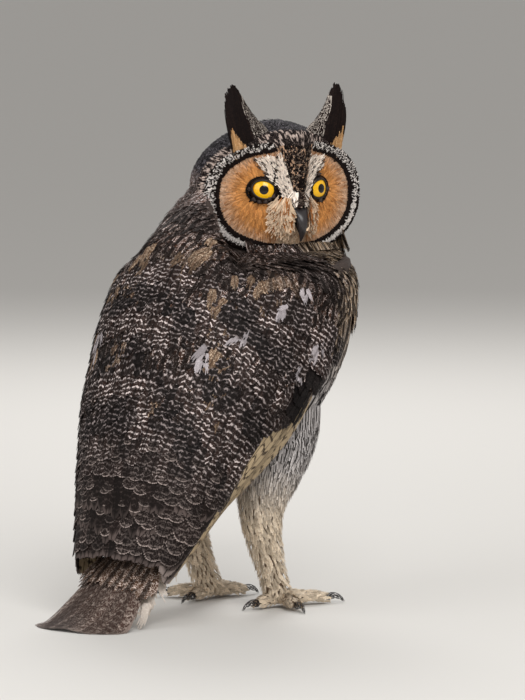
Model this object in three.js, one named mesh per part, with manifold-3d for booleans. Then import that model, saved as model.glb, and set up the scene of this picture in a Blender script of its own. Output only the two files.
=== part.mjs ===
// A long-eared owl, life size, standing on its feet with its tail on the ground.
// Its head is turned back over its right shoulder. Sizes are in millimetres.
// +Z is up, the breast faces -Y and the bird's left side is +X.
// The origin is on the ground, in the middle of the outline.
import * as THREE from "three";
import Module from "manifold-3d";

const wasm = await Module();
wasm.setup();

// Driving sizes
const GAP = 0.35; // clear space between pieces that meet
const RAD = Math.PI / 180;
const HEAD_CENTRE = { forward: 3, up: 243 };
const HEAD_TURN = -115; // degrees about +Z, from the way that the breast faces
const HEAD_HALF = { side: 50, front: 42, up: 37 };
const EYE = { side: 17.8, front: 25.2, up: -1, radius: 9.6, sunk: 7.8, lid: 1 };
const LID_OPENING = { across: 6.7, high: 5.2, slant: 14 };
const DISC_TURN = 24; // degrees that each half of the face looks outward
const FACE = { up: -4, side: 45, above: 28, below: 31, dish: 3.4, chin: 8, wedge: 3.6 };
const TUFT = { foot: [22, 20, 25], tip: [32.5, 15, 60], feathers: 4, half: 5.6, thick: 1.5 };
const NOSTRIL = { side: 3.9, front: 35.8, up: -12.5, radius: 1.1 };
const LEG_SIDE = 27; // of each foot from the middle plane
const FOOT_FORWARD = -22;
const ANKLE_UP = 12;
const NECK_UP = 206; // where the neck and the torso part

// Rows of the body's form, from the neck to the rump:
// forward, up, half width, half depth to the back and to the belly
const TORSO_ROWS = [
  [2, 242, 38, 38, 36],
  [-2, 227, 50, 49, 44],
  [-8, 211, 58, 56, 52],
  [-15, 194, 64, 60, 59],
  [-27, 171, 66, 61, 64],
  [-44, 146, 65, 60, 62],
  [-61, 123, 57, 52, 54],
  [-79, 101, 44, 38, 39],
  [-94, 83, 26, 20, 21],
  [-104, 72, 8, 6, 6],
];
// Rows of the cloak that the folded wings make over the back, from the shoulders to the wing tips:
// forward, up, half width, half depth
const CLOAK_ROWS = [
  [-3, 220, 46, 47],
  [-11, 203, 63, 62],
  [-25, 178, 71, 69],
  [-42, 152, 72, 70],
  [-61, 127, 69, 64],
  [-82, 103, 62, 52],
  [-101, 77, 51, 38],
  [-116, 51, 43, 25],
  [-131, 26, 33, 15],
];
// Rows of the tail's middle line: forward, up
const TAIL_ROWS = [
  [-72, 92],
  [-98, 62],
  [-124, 38],
  [-146, 19],
  [-164, 6.5],
  [-182, 0.4],
];

// A row between the rows of a table, on a smooth curve through them; share runs from 0 to 1.
function rowAt(rows, share) {
  const last = rows.length - 1;
  const place = Math.min(Math.max(share, 0), 1) * last;
  const k = Math.min(Math.floor(place), last - 1);
  const t = place - k;
  const at = (i) => rows[Math.min(Math.max(i, 0), last)];
  return rows[0].map((_, c) => {
    const [a, b, d, e] = [at(k - 1)[c], at(k)[c], at(k + 1)[c], at(k + 2)[c]];
    const bend = 2 * a - 5 * b + 4 * d - e;
    return 0.5 * (2 * b + (d - a) * t + bend * t * t + (3 * b - a - 3 * d + e) * t ** 3);
  });
}

// The middle line's point, and the way to the back that is square to it, in forward and up.
function frameAt(rows, share) {
  const [forward, up] = rowAt(rows, share);
  const step = 0.01;
  const near = Math.min(Math.max(share, step), 1 - step);
  const before = rowAt(rows, near - step);
  const after = rowAt(rows, near + step);
  const run = [before[0] - after[0], before[1] - after[1]];
  const length = Math.hypot(...run);
  return { forward, up, back: [-run[1] / length, run[0] / length] };
}

// A point from its side, forward and up sizes
const point = (side, forward, up) => new THREE.Vector3(side, -forward, up);

// A point round the torso; angle 0 is the left side, 90 the back and -90 the belly.
function torsoPoint(share, angle) {
  const { forward, up, back } = frameAt(TORSO_ROWS, share);
  const [, , half, toBack, toBelly] = rowAt(TORSO_ROWS, share);
  const c = Math.cos(angle * RAD);
  const s = Math.sin(angle * RAD);
  const out = (s > 0 ? toBack : toBelly) * s;
  return point(half * c, forward + back[0] * out, up + back[1] * out);
}

// A point on the right wing's side of the cloak; angle 0 is the side and 90 the middle of the back.
function cloakPoint(share, angle, lift = 0) {
  const { forward, up, back } = frameAt(CLOAK_ROWS, share);
  const [, , half, deep] = rowAt(CLOAK_ROWS, share);
  const out = (deep + lift) * Math.sin(angle * RAD);
  return point(-(half + lift) * Math.cos(angle * RAD), forward + back[0] * out, up + back[1] * out);
}

// How many degrees a millimetre round the cloak is
function degreesPerMm(share, angle) {
  const [, , half, deep] = rowAt(CLOAK_ROWS, share);
  return 1 / RAD / Math.hypot(half * Math.sin(angle * RAD), deep * Math.cos(angle * RAD));
}

// A closed solid from rings of as many points each.
// In a thin one, whose rings run over the top and back under it, both faces are split alike.
function loft(rings, thin = false) {
  const n = rings[0].length;
  const corners = rings.flat();
  const faces = [];
  for (let r = 0; r < rings.length - 1; r++)
    for (let i = 0; i < n; i++) {
      const j = (i + 1) % n;
      const [a, b, c, d] = [r * n + i, r * n + j, (r + 1) * n + j, (r + 1) * n + i];
      if (thin && i >= n / 2) faces.push([a, b, d], [b, c, d]);
      else faces.push([a, b, c], [a, c, d]);
    }
  const end = (rings.length - 1) * n;
  if (thin)
    for (let i = 1; i < n - 1; i++) faces.push([0, i + 1, i], [end, end + i, end + i + 1]);
  else {
    const middle = (ring) => ring.reduce((sum, p) => sum.add(p), new THREE.Vector3()).divideScalar(n);
    const first = corners.push(middle(rings[0])) - 1;
    const last = corners.push(middle(rings.at(-1))) - 1;
    for (let i = 0; i < n; i++) {
      const j = (i + 1) % n;
      faces.push([first, j, i], [last, end + i, end + j]);
    }
  }
  const volume = faces.reduce(
    (sum, [a, b, c]) => sum + corners[a].dot(corners[b].clone().cross(corners[c])), 0);
  const turned = volume < 0 ? faces.map(([a, b, c]) => [a, c, b]) : faces;
  return new wasm.Manifold(new wasm.Mesh({
    numProp: 3,
    vertProperties: new Float32Array(corners.flatMap((p) => p.toArray())),
    triVerts: new Uint32Array(turned.flat()),
  }));
}

const join = (solids) => solids.reduce((all, s) => all.add(s));
const cut = (solid, ...tools) => tools.reduce((left, t) => left.subtract(t), solid);
const largest = (solid) => solid.decompose().reduce((a, b) => (a.volume() > b.volume() ? a : b));

// A round bar along points, with a half width at each, flattened where round is under 1
function bar(points, halves, sides = 8, round = 1, wide = new THREE.Vector3(1, 0, 0)) {
  const last = points.length - 1;
  const rings = points.map((p, k) => {
    const way = points[Math.min(k + 1, last)].clone().sub(points[Math.max(k - 1, 0)]).normalize();
    const across = wide.clone().addScaledVector(way, -wide.dot(way)).normalize();
    const over = way.clone().cross(across);
    return Array.from({ length: sides }, (_, i) => {
      const a = ((i + 0.5) / sides) * 2 * Math.PI;
      return p.clone()
        .addScaledVector(across, halves[k] * Math.cos(a))
        .addScaledVector(over, halves[k] * round * Math.sin(a));
    });
  });
  return loft(rings);
}

// A solid ball of a given number of segments round and half as many from pole to pole
function ball(centre, radius, segments = 24) {
  const rings = [];
  for (let k = 1; k < segments / 2; k++) {
    const tilt = (k / (segments / 2)) * Math.PI;
    const out = radius * Math.sin(tilt);
    const up = radius * Math.cos(tilt);
    rings.push(Array.from({ length: segments }, (_, i) => {
      const a = (i / segments) * 2 * Math.PI;
      return new THREE.Vector3(out * Math.cos(a), out * Math.sin(a), up).add(centre);
    }));
  }
  return loft(rings);
}

// A block between two corners
function block(low, high) {
  const [x0, y0, z0] = low;
  const [x1, y1, z1] = high;
  const corners = [[x0, y0], [x1, y0], [x1, y1], [x0, y1]];
  return loft([z0, z1].map((z) => corners.map(([x, y]) => new THREE.Vector3(x, y, z))));
}

const FAR = 500;
const UNDERGROUND = block([-FAR, -FAR, -FAR], [FAR, FAR, 0]);
const PAST_MIDDLE = block([-GAP, -FAR, -FAR], [FAR, FAR, FAR]);

// Shapes of a feather: share of its length, and share of its widest half width there
const COVERT_FORM = [[0, 0.6], [0.72, 1], [1, 0.42]];
const FLIGHT_FORM = [[0, 0.5], [0.5, 1], [0.88, 0.9], [1, 0.38]];

// One feather. place(share, side, lift) gives a point of it.
function vane(place, form, half, { thick, rise, tilt }) {
  const rings = form.map(([share, width]) => {
    const w = half * width;
    const base = rise[0] + (rise[1] - rise[0]) * share;
    const top = [-w, w].map((b) => place(share, b, base - b * tilt));
    const under = [-w, w].map((b) => place(share, b, base - b * tilt - thick));
    return [...top, ...under.reverse()];
  });
  return loft(rings, true);
}

// A feather that lies on the cloak, from a root to a tip, each a share down the back and an angle round it
function cloakFeather(root, tip, half, form, options) {
  const place = (share, side, lift) => {
    const s = root[0] + (tip[0] - root[0]) * share;
    const a = root[1] + (tip[1] - root[1]) * share;
    return cloakPoint(s, a + side * degreesPerMm(s, a), lift);
  };
  return vane(place, form, half, options);
}

// The wing's lower edge: share down the cloak, and angle there
const WING_EDGE = [
  [0, -24],
  [0.27, -18],
  [0.4, -12],
  [0.6, -9],
  [0.72, -20],
  [0.85, -30],
  [1, -24],
];
// The wing's inner edge, which leaves the middle of the back below the rump
const WING_INNER = [
  [0, 90],
  [0.89, 90],
  [0.96, 72],
  [1, 38],
];
function edgeAt(table, share) {
  const k = Math.max(table.findIndex(([s]) => s >= share), 1);
  const [[s0, a0], [s1, a1]] = [table[k - 1], table[k]];
  return a0 + ((a1 - a0) * (share - s0)) / (s1 - s0);
}

// Tiers of wing feathers, from the tips of the wing up to the shoulder: how many, first and last root,
// first and last tip (share and angle), half width, root and tip over the cloak, thickness
const WING_TIERS = [
  [5, [[0.7, 2], [0.7, 68]], [[0.97, 4], [0.96, 70]], 12, [-3, -1], 1.5, FLIGHT_FORM],
  [7, [[0.58, -14], [0.62, 74]], [[0.8, -20], [0.88, 80]], 12, [-2.4, 0.4], 1.8, FLIGHT_FORM],
  [6, [[0.44, -8], [0.46, 64]], [[0.65, -10], [0.69, 72]], 12.5, [-1, 1.2], 4, COVERT_FORM],
  [6, [[0.32, -10], [0.32, 54]], [[0.51, -8], [0.53, 62]], 12, [-1, 1.6], 4, COVERT_FORM],
  [5, [[0.22, -14], [0.2, 50]], [[0.39, -11], [0.4, 58]], 13.5, [-1, 1.6], 4, COVERT_FORM],
  [5, [[0.13, -16], [0.1, 48]], [[0.28, -16], [0.28, 54]], 13.5, [-1, 1.6], 4, COVERT_FORM],
];
const TIER_TILT = 0.04; // how much one side of each feather slips under the next
const TIP_WOBBLE = 0.005;
// Two columns of feathers beside the middle of the back: share of each tip, angle of each column
const SCAPULARS = { tips: [0.26, 0.42, 0.58], angles: [64, 82], length: 0.21, half: 10.5, thick: 5 };
// Tips of the long wing feathers, from the outermost: share down the cloak and angle round it
const PRIMARY_TIPS = [[0.86, -27], [0.92, -25], [0.97, -20], [1, -12], [1, 2], [0.99, 14]];
const PRIMARY = { half: 7.5, thick: 1.3, tilt: 0.03 };

function primary(tip, k) {
  const rise = [-2.6 + 0.2 * k, -2.4 + 0.3 * k];
  return cloakFeather([0.5, -8 + 4 * k], tip, PRIMARY.half, FLIGHT_FORM, { ...PRIMARY, rise });
}
function tier([count, roots, tips, half, rise, thick, form]) {
  return Array.from({ length: count }, (_, k) => {
    const t = k / (count - 1);
    const mix = ([a, b]) => [a[0] + (b[0] - a[0]) * t, a[1] + (b[1] - a[1]) * t];
    const [share, angle] = mix(tips);
    const tip = [share + TIP_WOBBLE * (k % 2 ? 1 : -1), angle];
    return cloakFeather(mix(roots), tip, half, form, { thick, rise, tilt: TIER_TILT });
  });
}
function scapulars(share, k) {
  const { angles, length, half, thick } = SCAPULARS;
  return angles.map((angle, column) =>
    cloakFeather([share - length, angle - 3], [share + 0.05 * column, angle], half - 0.4 * k, COVERT_FORM,
      { thick, rise: [-0.5, 2.6], tilt: TIER_TILT }));
}
const wingFeathers = () => [
  ...PRIMARY_TIPS.map(primary),
  ...WING_TIERS.flatMap(tier),
  ...SCAPULARS.tips.flatMap(scapulars),
];

// The arm and the packed feather bases, a curved slab that thins towards the tip
function wingCore() {
  const shares = [0, 0.1, 0.24, 0.38, 0.52, 0.66, 0.8, 0.9];
  const columns = 6;
  return loft(shares.map((s) => {
    const low = edgeAt(WING_EDGE, s) + 3;
    const high = edgeAt(WING_INNER, s);
    const angles = Array.from({ length: columns + 1 }, (_, k) => low + ((high - low) * k) / columns);
    const drop = 3.2 * Math.max(0, s - 0.5);
    const thick = 9 - 6 * s;
    const top = angles.map((a) => cloakPoint(s, a, -drop));
    const under = angles.map((a) => cloakPoint(s, a, -drop - thick));
    return [...top, ...under.reverse()];
  }), true);
}
const wingSolid = () => join([wingCore(), ...wingFeathers()]);

function torsoSolid(lift = 0) {
  const steps = 10;
  const sides = 20;
  const rings = Array.from({ length: steps + 1 }, (_, k) =>
    Array.from({ length: sides }, (_, i) => torsoPoint(k / steps, (i / sides) * 360)));
  return loft(swell(rings, lift));
}

// Rings of a form moved out along their own normals
function swell(rings, lift) {
  const n = rings[0].length;
  const normals = rings.map((ring, r) => ring.map((_, i) => {
    const along = rings[Math.min(r + 1, rings.length - 1)][i].clone().sub(rings[Math.max(r - 1, 0)][i]);
    const round = ring[(i + 1) % n].clone().sub(ring[(i + n - 1) % n]);
    return along.cross(round).normalize();
  }));
  const total = rings.flat().reduce((sum, p) => sum.add(p), new THREE.Vector3());
  const middle = total.divideScalar(n * rings.length);
  const outs = normals.flat();
  const outward = rings.flat().reduce((sum, p, k) => sum + outs[k].dot(p.clone().sub(middle)), 0);
  const by = lift * Math.sign(outward);
  return rings.map((ring, r) => ring.map((p, i) => p.clone().addScaledVector(normals[r][i], by)));
}

const HEAD_MATRIX = new THREE.Matrix4()
  .makeTranslation(0, -HEAD_CENTRE.forward, HEAD_CENTRE.up)
  .multiply(new THREE.Matrix4().makeRotationZ(HEAD_TURN * RAD));
// A point of the head in the bird's own frame, from its side, front and up sizes
const onHead = (side, front, up) => point(side, front, up).applyMatrix4(HEAD_MATRIX);
const headWay = (side, front, up) => point(side, front, up).transformDirection(HEAD_MATRIX);

const DISC_SLOPE = Math.tan(DISC_TURN * RAD);
const DISC_FRONT = EYE.front + EYE.side * DISC_SLOPE;

// A point of the face, in side, front and up, from its middle (0) to its rim (1) on a way round it.
// Each half of the face is a shallow dish that looks outward.
// A wedge comes down between the eyes to the bill.
function facePoint(share, turn) {
  const blunt = (v) => Math.sign(v) * Math.abs(v) ** 0.85;
  const c = blunt(Math.cos(turn * RAD));
  const s = blunt(Math.sin(turn * RAD));
  const x = share * FACE.side * c;
  const z = FACE.up + share * (s > 0 ? FACE.above : FACE.below) * s;
  const round = Math.hypot((Math.abs(x) - 23) / 22, (z - FACE.up) / 28);
  const dish = FACE.dish * Math.max(0, 1 - round * round);
  const chin = FACE.chin * (share * Math.max(0, -s)) ** 2;
  const wedge = FACE.wedge * Math.exp(-((x / 6.5) ** 2)) * Math.exp(-(((z - 4) / 24) ** 2));
  return [x, DISC_FRONT - DISC_SLOPE * Math.abs(x) - dish - chin + wedge, z];
}

// A point of the head's crown, sides and nape, from the face's rim (0) to the middle of its back (1)
function crownPoint(share, turn) {
  const [x, f, z] = facePoint(1, turn);
  const [a, b, c] = [x / HEAD_HALF.side, f / HEAD_HALF.front, z / HEAD_HALF.up];
  const tilt = Math.atan2(Math.hypot(a, c), b);
  const way = tilt + (Math.PI - tilt) * share;
  const round = Math.atan2(c, a);
  const ruff = 0.05 * Math.exp(-(((share - 0.08) / 0.07) ** 2));
  const size = 1 + (Math.hypot(a, b, c) - 1) * (1 - share) ** 2 + ruff;
  return [
    HEAD_HALF.side * Math.sin(way) * Math.cos(round) * size,
    HEAD_HALF.front * Math.cos(way) * size,
    HEAD_HALF.up * Math.sin(way) * Math.sin(round) * size,
  ];
}

const HEAD_SIDES = 26;
const FACE_RINGS = [0.15, 0.32, 0.5, 0.68, 0.86, 1];
const CROWN_RINGS = [0.08, 0.18, 0.32, 0.48, 0.64, 0.8, 0.93];
function headSolid(lift = 0) {
  const turns = Array.from({ length: HEAD_SIDES }, (_, i) => (i / HEAD_SIDES) * 360);
  const rings = [
    ...FACE_RINGS.map((share) => turns.map((turn) => onHead(...facePoint(share, turn)))),
    ...CROWN_RINGS.map((share) => turns.map((turn) => onHead(...crownPoint(share, turn)))),
  ];
  return loft(swell(rings, lift));
}

// The space before the face, which the mantle and the wings leave free.
// Its floor slopes down away from the chin.
const FACE_SPACE = { side: 46, depth: 8, floor: -36, slope: 0.15, spread: 70, out: 140, top: 80 };
function faceSpace() {
  const { side, depth, spread, out, top } = FACE_SPACE;
  const front = DISC_FRONT - DISC_SLOPE * side - depth;
  const outline = [[-side, front], [0, DISC_FRONT - depth], [side, front], [spread, out], [-spread, out]];
  const floor = (far) => FACE_SPACE.floor - FACE_SPACE.slope * Math.max(0, far - DISC_FRONT);
  return loft([
    outline.map(([x, far]) => onHead(x, far, floor(far))),
    outline.map(([x, far]) => onHead(x, far, top)),
  ]);
}

// The way that one eye looks, and the middle of its ball
function eyeLine(hand) {
  const way = [hand * Math.sin(DISC_TURN * RAD), Math.cos(DISC_TURN * RAD), 0.02];
  const centre = [hand * EYE.side - way[0] * EYE.sunk, EYE.front - way[1] * EYE.sunk, EYE.up];
  return { way: headWay(...way), centre: onHead(...centre) };
}

// The lids are a thin shell round the ball, open in an almond that slants down to the bill.
function lidOpening(hand) {
  const { way, centre } = eyeLine(hand);
  const up = new THREE.Vector3(0, 0, 1);
  const out = up.clone().cross(way).normalize().multiplyScalar(hand);
  const [c, s] = [Math.cos(LID_OPENING.slant * RAD), Math.sin(LID_OPENING.slant * RAD)];
  const corners = 16;
  const ring = (depth) => Array.from({ length: corners }, (_, i) => {
    const a = (i / corners) * 2 * Math.PI;
    const across = LID_OPENING.across * Math.cos(a);
    const high = LID_OPENING.high * Math.sin(a);
    return centre.clone().addScaledVector(way, depth)
      .addScaledVector(out, across * c - high * s)
      .addScaledVector(up, across * s + high * c);
  });
  return loft([ring(EYE.radius * 0.4), ring(EYE.radius * 2)]);
}

// The curved middle line of the upper and the lower half of the bill: front, up and half width on the head
const BILL_TOP = [
  [26, -5, 4.8],
  [32, -7, 5.2],
  [36.5, -12, 4.6],
  [39.2, -18.5, 3.5],
  [39.4, -25, 2.2],
  [37.4, -30.5, 0.7],
];
const BILL_LOW = [
  [24, -13, 4.2],
  [29, -16, 4.1],
  [33, -19, 3.2],
  [35.2, -22.5, 1.9],
  [35.4, -25.5, 0.7],
];
function billBar(rows, lift = 0) {
  const line = rows.map(([front, up]) => onHead(0, front, up));
  return bar(line, rows.map((r) => r[2] + lift), 8, 0.85, headWay(1, 0, 0));
}
const nostril = (hand) => ball(onHead(hand * NOSTRIL.side, NOSTRIL.front, NOSTRIL.up), NOSTRIL.radius, 6);

// A tuft's curve from its foot to its tip, off to one side by a share of its width
function tuftCurve(hand, across) {
  const [x0, f0, z0] = TUFT.foot;
  const [x1, f1, z1] = TUFT.tip;
  const outer = Math.max(0, across);
  const inner = Math.max(0, -across);
  const foot = onHead(hand * (x0 + 15 * across), f0 - 3 * Math.abs(across), z0 - 3 - 9 * outer);
  const bend = onHead(hand * ((x0 + x1) / 2 + 11 * across + 0.5), (f0 + f1) / 2 + 2.5, (z0 + z1) / 2);
  const tip = onHead(hand * (x1 + 6 * across), f1 - 2 * across, z1 - 30 * (across - 0.1) ** 2 - 8 * inner);
  return new THREE.QuadraticBezierCurve3(foot, bend, tip);
}
// A tuft: feathers side by side on a short root, each bent a little outward
const TUFT_FORM = [[0, 0.7], [0.35, 1], [0.7, 0.8], [0.9, 0.45], [1, 0.15]];
function tuftSolid(hand) {
  const out = headWay(hand, 0, 0);
  const front = headWay(0, 1, 0);
  const feathers = Array.from({ length: TUFT.feathers }, (_, k) => {
    const across = k / (TUFT.feathers - 1) - 0.5;
    const curve = tuftCurve(hand, across);
    const place = (share, side, lift) =>
      curve.getPoint(share).addScaledVector(out, side).addScaledVector(front, lift - 0.02 * side * side);
    const rise = [1.2 * (k % 2), 0.6 * (k % 2)];
    return vane(place, TUFT_FORM, TUFT.half, { thick: TUFT.thick, rise, tilt: -0.08 * hand });
  });
  const middle = tuftCurve(hand, 0);
  const root = bar([0, 0.12, 0.3].map((t) => middle.getPoint(t)), [10, 9, 5], 8, 0.4, out);
  return join([root, ...feathers]);
}

// The tail's half width down its length
const TAIL_HALF = [[0, 17], [0.25, 21], [0.5, 27], [0.8, 33], [1, 34]];
// A point of the tail, from its root to its end, off to a side and above its middle line
function tailPoint(share, side, lift) {
  const { forward, up, back } = frameAt(TAIL_ROWS, share);
  const out = lift - 0.006 * side * side;
  return point(side, forward + back[0] * out, up + back[1] * out);
}
// A slab that follows the tail, with its height above and below the middle line at the root and at the end
function tailSlab(above, below, grow = 0) {
  const shares = [0, 0.15, 0.3, 0.45, 0.6, 0.75, 0.88, 1];
  const columns = [-1, -0.66, -0.33, 0, 0.33, 0.66, 1];
  const mix = ([a, b], t) => a + (b - a) * t;
  return loft(shares.map((s) => {
    const sides = columns.map((c) => c * (edgeAt(TAIL_HALF, s) + grow));
    const top = sides.map((x) => tailPoint(s, x, mix(above, s) + grow));
    const under = sides.map((x) => tailPoint(s, x, -mix(below, s) - grow));
    return [...top, ...under.reverse()];
  }), true);
}
const tailSpace = () => tailSlab([14, 2.5], [12, 2], GAP);

// The tail: a fan of feathers on a core, with shorter coverts over and under their bases
const TAIL_FEATHERS = { count: 10, half: 7.2, thick: 2, root: 0.35, spread: 0.8 };
// Coverts from the lower tier up, then those under the tail: how many, tip, spread, rise at root and tip
const TAIL_COVERTS = [
  { count: 6, tip: 0.72, spread: 0.78, rise: [6, 5.2] },
  { count: 5, tip: 0.54, spread: 0.78, rise: [8, 7.6] },
  { count: 4, tip: 0.36, spread: 0.7, rise: [10, 10.4] },
  { count: 5, tip: 0.66, spread: 0.6, rise: [-3, -3.6] },
];
const TAIL_COVERT = { half: 8, thick: 3, length: 0.3 };
const TAIL_FEATHER_FORM = [[0, 0.7], [0.5, 0.95], [0.93, 0.9], [1, 0.45]];
function tailFeather(across, from, to, half, rise, thick, form) {
  const place = (share, side, lift) => {
    const s = from + (to - from) * share;
    return tailPoint(s, across * edgeAt(TAIL_HALF, s) + side, lift);
  };
  return vane(place, form, half, { thick, rise, tilt: 0.06 * Math.sign(across) });
}
function tailSolid() {
  const across = (k, count) => (k / (count - 1)) * 2 - 1;
  const parts = [tailSlab([11, -1], [9, 2])];
  const { count: feathers, half, thick, root, spread: fan } = TAIL_FEATHERS;
  for (let k = 0; k < feathers; k++) {
    const t = across(k, feathers);
    const rise = [5 - 2 * Math.abs(t), 2.2 - 1.2 * Math.abs(t)];
    parts.push(tailFeather(fan * t, root, 1 - 0.06 * t * t, half, rise, thick, TAIL_FEATHER_FORM));
  }
  for (const { count, tip, spread, rise } of TAIL_COVERTS)
    for (let k = 0; k < count; k++) {
      const t = across(k, count);
      parts.push(tailFeather(spread * t, tip - TAIL_COVERT.length, tip - 0.04 * t * t, TAIL_COVERT.half, rise,
        TAIL_COVERT.thick, COVERT_FORM));
    }
  return join(parts);
}

// A leg's middle line from the hip to the toes, forward and up, with its half width
const LEG_ROWS = [
  [-30, 120, 24],
  [-33, 98, 23],
  [-38, 80, 19],
  [-42, 64, 14],
  [-42, 52, 11.5],
  [-38, 38, 9.5],
  [-31, 22, 8],
  [-25, 8, 8],
];
function legBar(side) {
  const spread = (up) => 1 + 0.002 * (up - 20);
  return bar(LEG_ROWS.map(([f, u]) => point(side * spread(u), f, u)), LEG_ROWS.map((r) => r[2]), 14);
}

// Toes: degrees that each points outward from straight ahead, and its length
const TOES = [[-12, 25], [22, 31], [118, 25], [187, 20]];
const TOE_HALF = 4.3;
const TOE_UP = 2.6;
function toeWay(turn, hand) {
  return new THREE.Vector3(hand * Math.sin(turn * RAD), -Math.cos(turn * RAD), 0);
}
const footMiddle = (hand) => point(hand * LEG_SIDE, FOOT_FORWARD, TOE_UP);
// A bar from the foot's middle along one toe; each row is how far out, how far up and its half width
function toeBar(turn, hand, rows, tall) {
  const way = toeWay(turn, hand);
  const up = new THREE.Vector3(0, 0, 1);
  const line = rows.map(([out, high]) =>
    footMiddle(hand).addScaledVector(way, out).addScaledVector(up, high));
  return bar(line, rows.map((r) => r[2]), 6, tall, way.clone().cross(up));
}
const KNUCKLES = [[0, 2.2, 1.3], [0.4, 1.4, 1.1], [0.75, 0.8, 1.05], [1, 0, 0.7]];
function toeSolid([turn, length], hand) {
  return toeBar(turn, hand, KNUCKLES.map(([share, up, wide]) => [share * length, up, wide * TOE_HALF]), 0.95);
}
const CLAW_ARC = [[-1.5, 0.6, 2.1], [1.5, 1.5, 2.1], [5, 1.6, 1.7], [8.4, 0.1, 1.15], [10.8, -2.2, 0.4]];
function clawSolid([turn, length], hand, lift = 0) {
  return toeBar(turn, hand, CLAW_ARC.map(([out, up, half]) => [length + out, up, half + lift]), 1.1);
}

const COLOURS = {
  mottled: [0x4a3a30, 0.95],
  pale: [0xb8a48c, 0.95],
  face: [0xb98a58, 0.95],
  flight: [0x54443a, 0.85],
  bill: [0x26221f, 0.45],
  claw: [0x1b1917, 0.4],
  eye: [0xe8b90c, 0.15],
};
const owl = new THREE.Group();
function add(name, solid, colour) {
  const mesh = largest(solid).getMesh();
  const geometry = new THREE.BufferGeometry()
    .setAttribute("position", new THREE.BufferAttribute(new Float32Array(mesh.vertProperties), 3))
    .setIndex(new THREE.BufferAttribute(new Uint32Array(mesh.triVerts), 1));
  geometry.computeVertexNormals();
  const [color, roughness] = COLOURS[colour];
  const piece = new THREE.Mesh(geometry, new THREE.MeshStandardMaterial({ color, roughness, metalness: 0 }));
  piece.name = name;
  owl.add(piece);
}

const HANDS = { left: 1, right: -1 };
const hands = Object.entries(HANDS);

// The head, with its eyes and bill let into it
const EYE_CUTS = 16;
const eyeBall = (hand, lift) => ball(eyeLine(hand).centre, EYE.radius + lift, EYE_CUTS);
const lidBalls = (lift) => hands.map(([, hand]) => eyeBall(hand, EYE.lid + lift));
const billSockets = [billBar(BILL_TOP, GAP), billBar(BILL_LOW, GAP)];
const eyeSockets = hands.map(([, hand]) => eyeBall(hand, GAP));
const lidOpenings = hands.map(([, hand]) => lidOpening(hand));
const wholeHead = join([headSolid(), ...lidBalls(0)]);
add("head", cut(wholeHead, ...eyeSockets, ...lidOpenings, ...billSockets), "face");
add("bill_upper", cut(billBar(BILL_TOP), ...hands.map(([, hand]) => nostril(hand))), "bill");
add("bill_lower", cut(billBar(BILL_LOW), billSockets[0]), "bill");
const headGrown = join([headSolid(GAP), ...lidBalls(GAP)]);
for (const [side, hand] of hands) {
  add("eye_" + side, eyeBall(hand, 0), "eye");
  add("ear_tuft_" + side, cut(tuftSolid(hand), headGrown), "mottled");
}

// The body, parted at the neck
const body = torsoSolid();
const bodyGrown = torsoSolid(GAP);
const aboveNeck = block([-FAR, -FAR, NECK_UP], [FAR, FAR, FAR]);
const belowNeck = block([-FAR, -FAR, -FAR], [FAR, FAR, NECK_UP + GAP]);
const beforeFace = faceSpace();
add("neck", cut(body, belowNeck, headGrown, beforeFace), "mottled");
add("torso", cut(body, aboveNeck, headGrown, beforeFace), "pale");

// The tail, and the folded wings over it, the left one the mirror of the right
add("tail", cut(tailSolid(), bodyGrown, UNDERGROUND), "flight");
const besideWing = [bodyGrown, headGrown, beforeFace, tailSpace(), PAST_MIDDLE, UNDERGROUND];
const wingRight = cut(wingSolid(), ...besideWing);
add("wing_right", wingRight, "flight");
add("wing_left", wingRight.mirror([1, 0, 0]), "flight");

// The legs and feet, which part at the ankle
const belowAnkle = block([-FAR, -FAR, -FAR], [FAR, FAR, ANKLE_UP]);
const aboveAnkle = block([-FAR, -FAR, ANKLE_UP - GAP], [FAR, FAR, FAR]);
for (const [side, hand] of hands) {
  const leg = legBar(hand * LEG_SIDE);
  add("leg_" + side, cut(leg, bodyGrown, belowAnkle), "pale");
  const claws = TOES.map((toe) => clawSolid(toe, hand, GAP));
  const foot = join([leg, ...TOES.map((toe) => toeSolid(toe, hand))]);
  add("foot_" + side, cut(foot, aboveAnkle, UNDERGROUND, ...claws), "pale");
  TOES.forEach((toe, k) => add(`claw_${side}_${k + 1}`, cut(clawSolid(toe, hand), UNDERGROUND), "claw"));
}

// The origin goes to the ground in the middle of the outline.
const outline = new THREE.Box3().setFromObject(owl);
const middle = outline.getCenter(new THREE.Vector3());
owl.position.set(-middle.x, -middle.y, -outline.min.z);

export default owl;
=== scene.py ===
# A long-eared owl, life size, dressed feather by feather round its fixed frame.
# Sizes are in millimetres until a mesh is made. +Z is up, the breast faces -Y and the bird's left side is +X.
import math

import bpy
import numpy as np
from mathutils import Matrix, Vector
from mathutils.bvhtree import BVHTree


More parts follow.
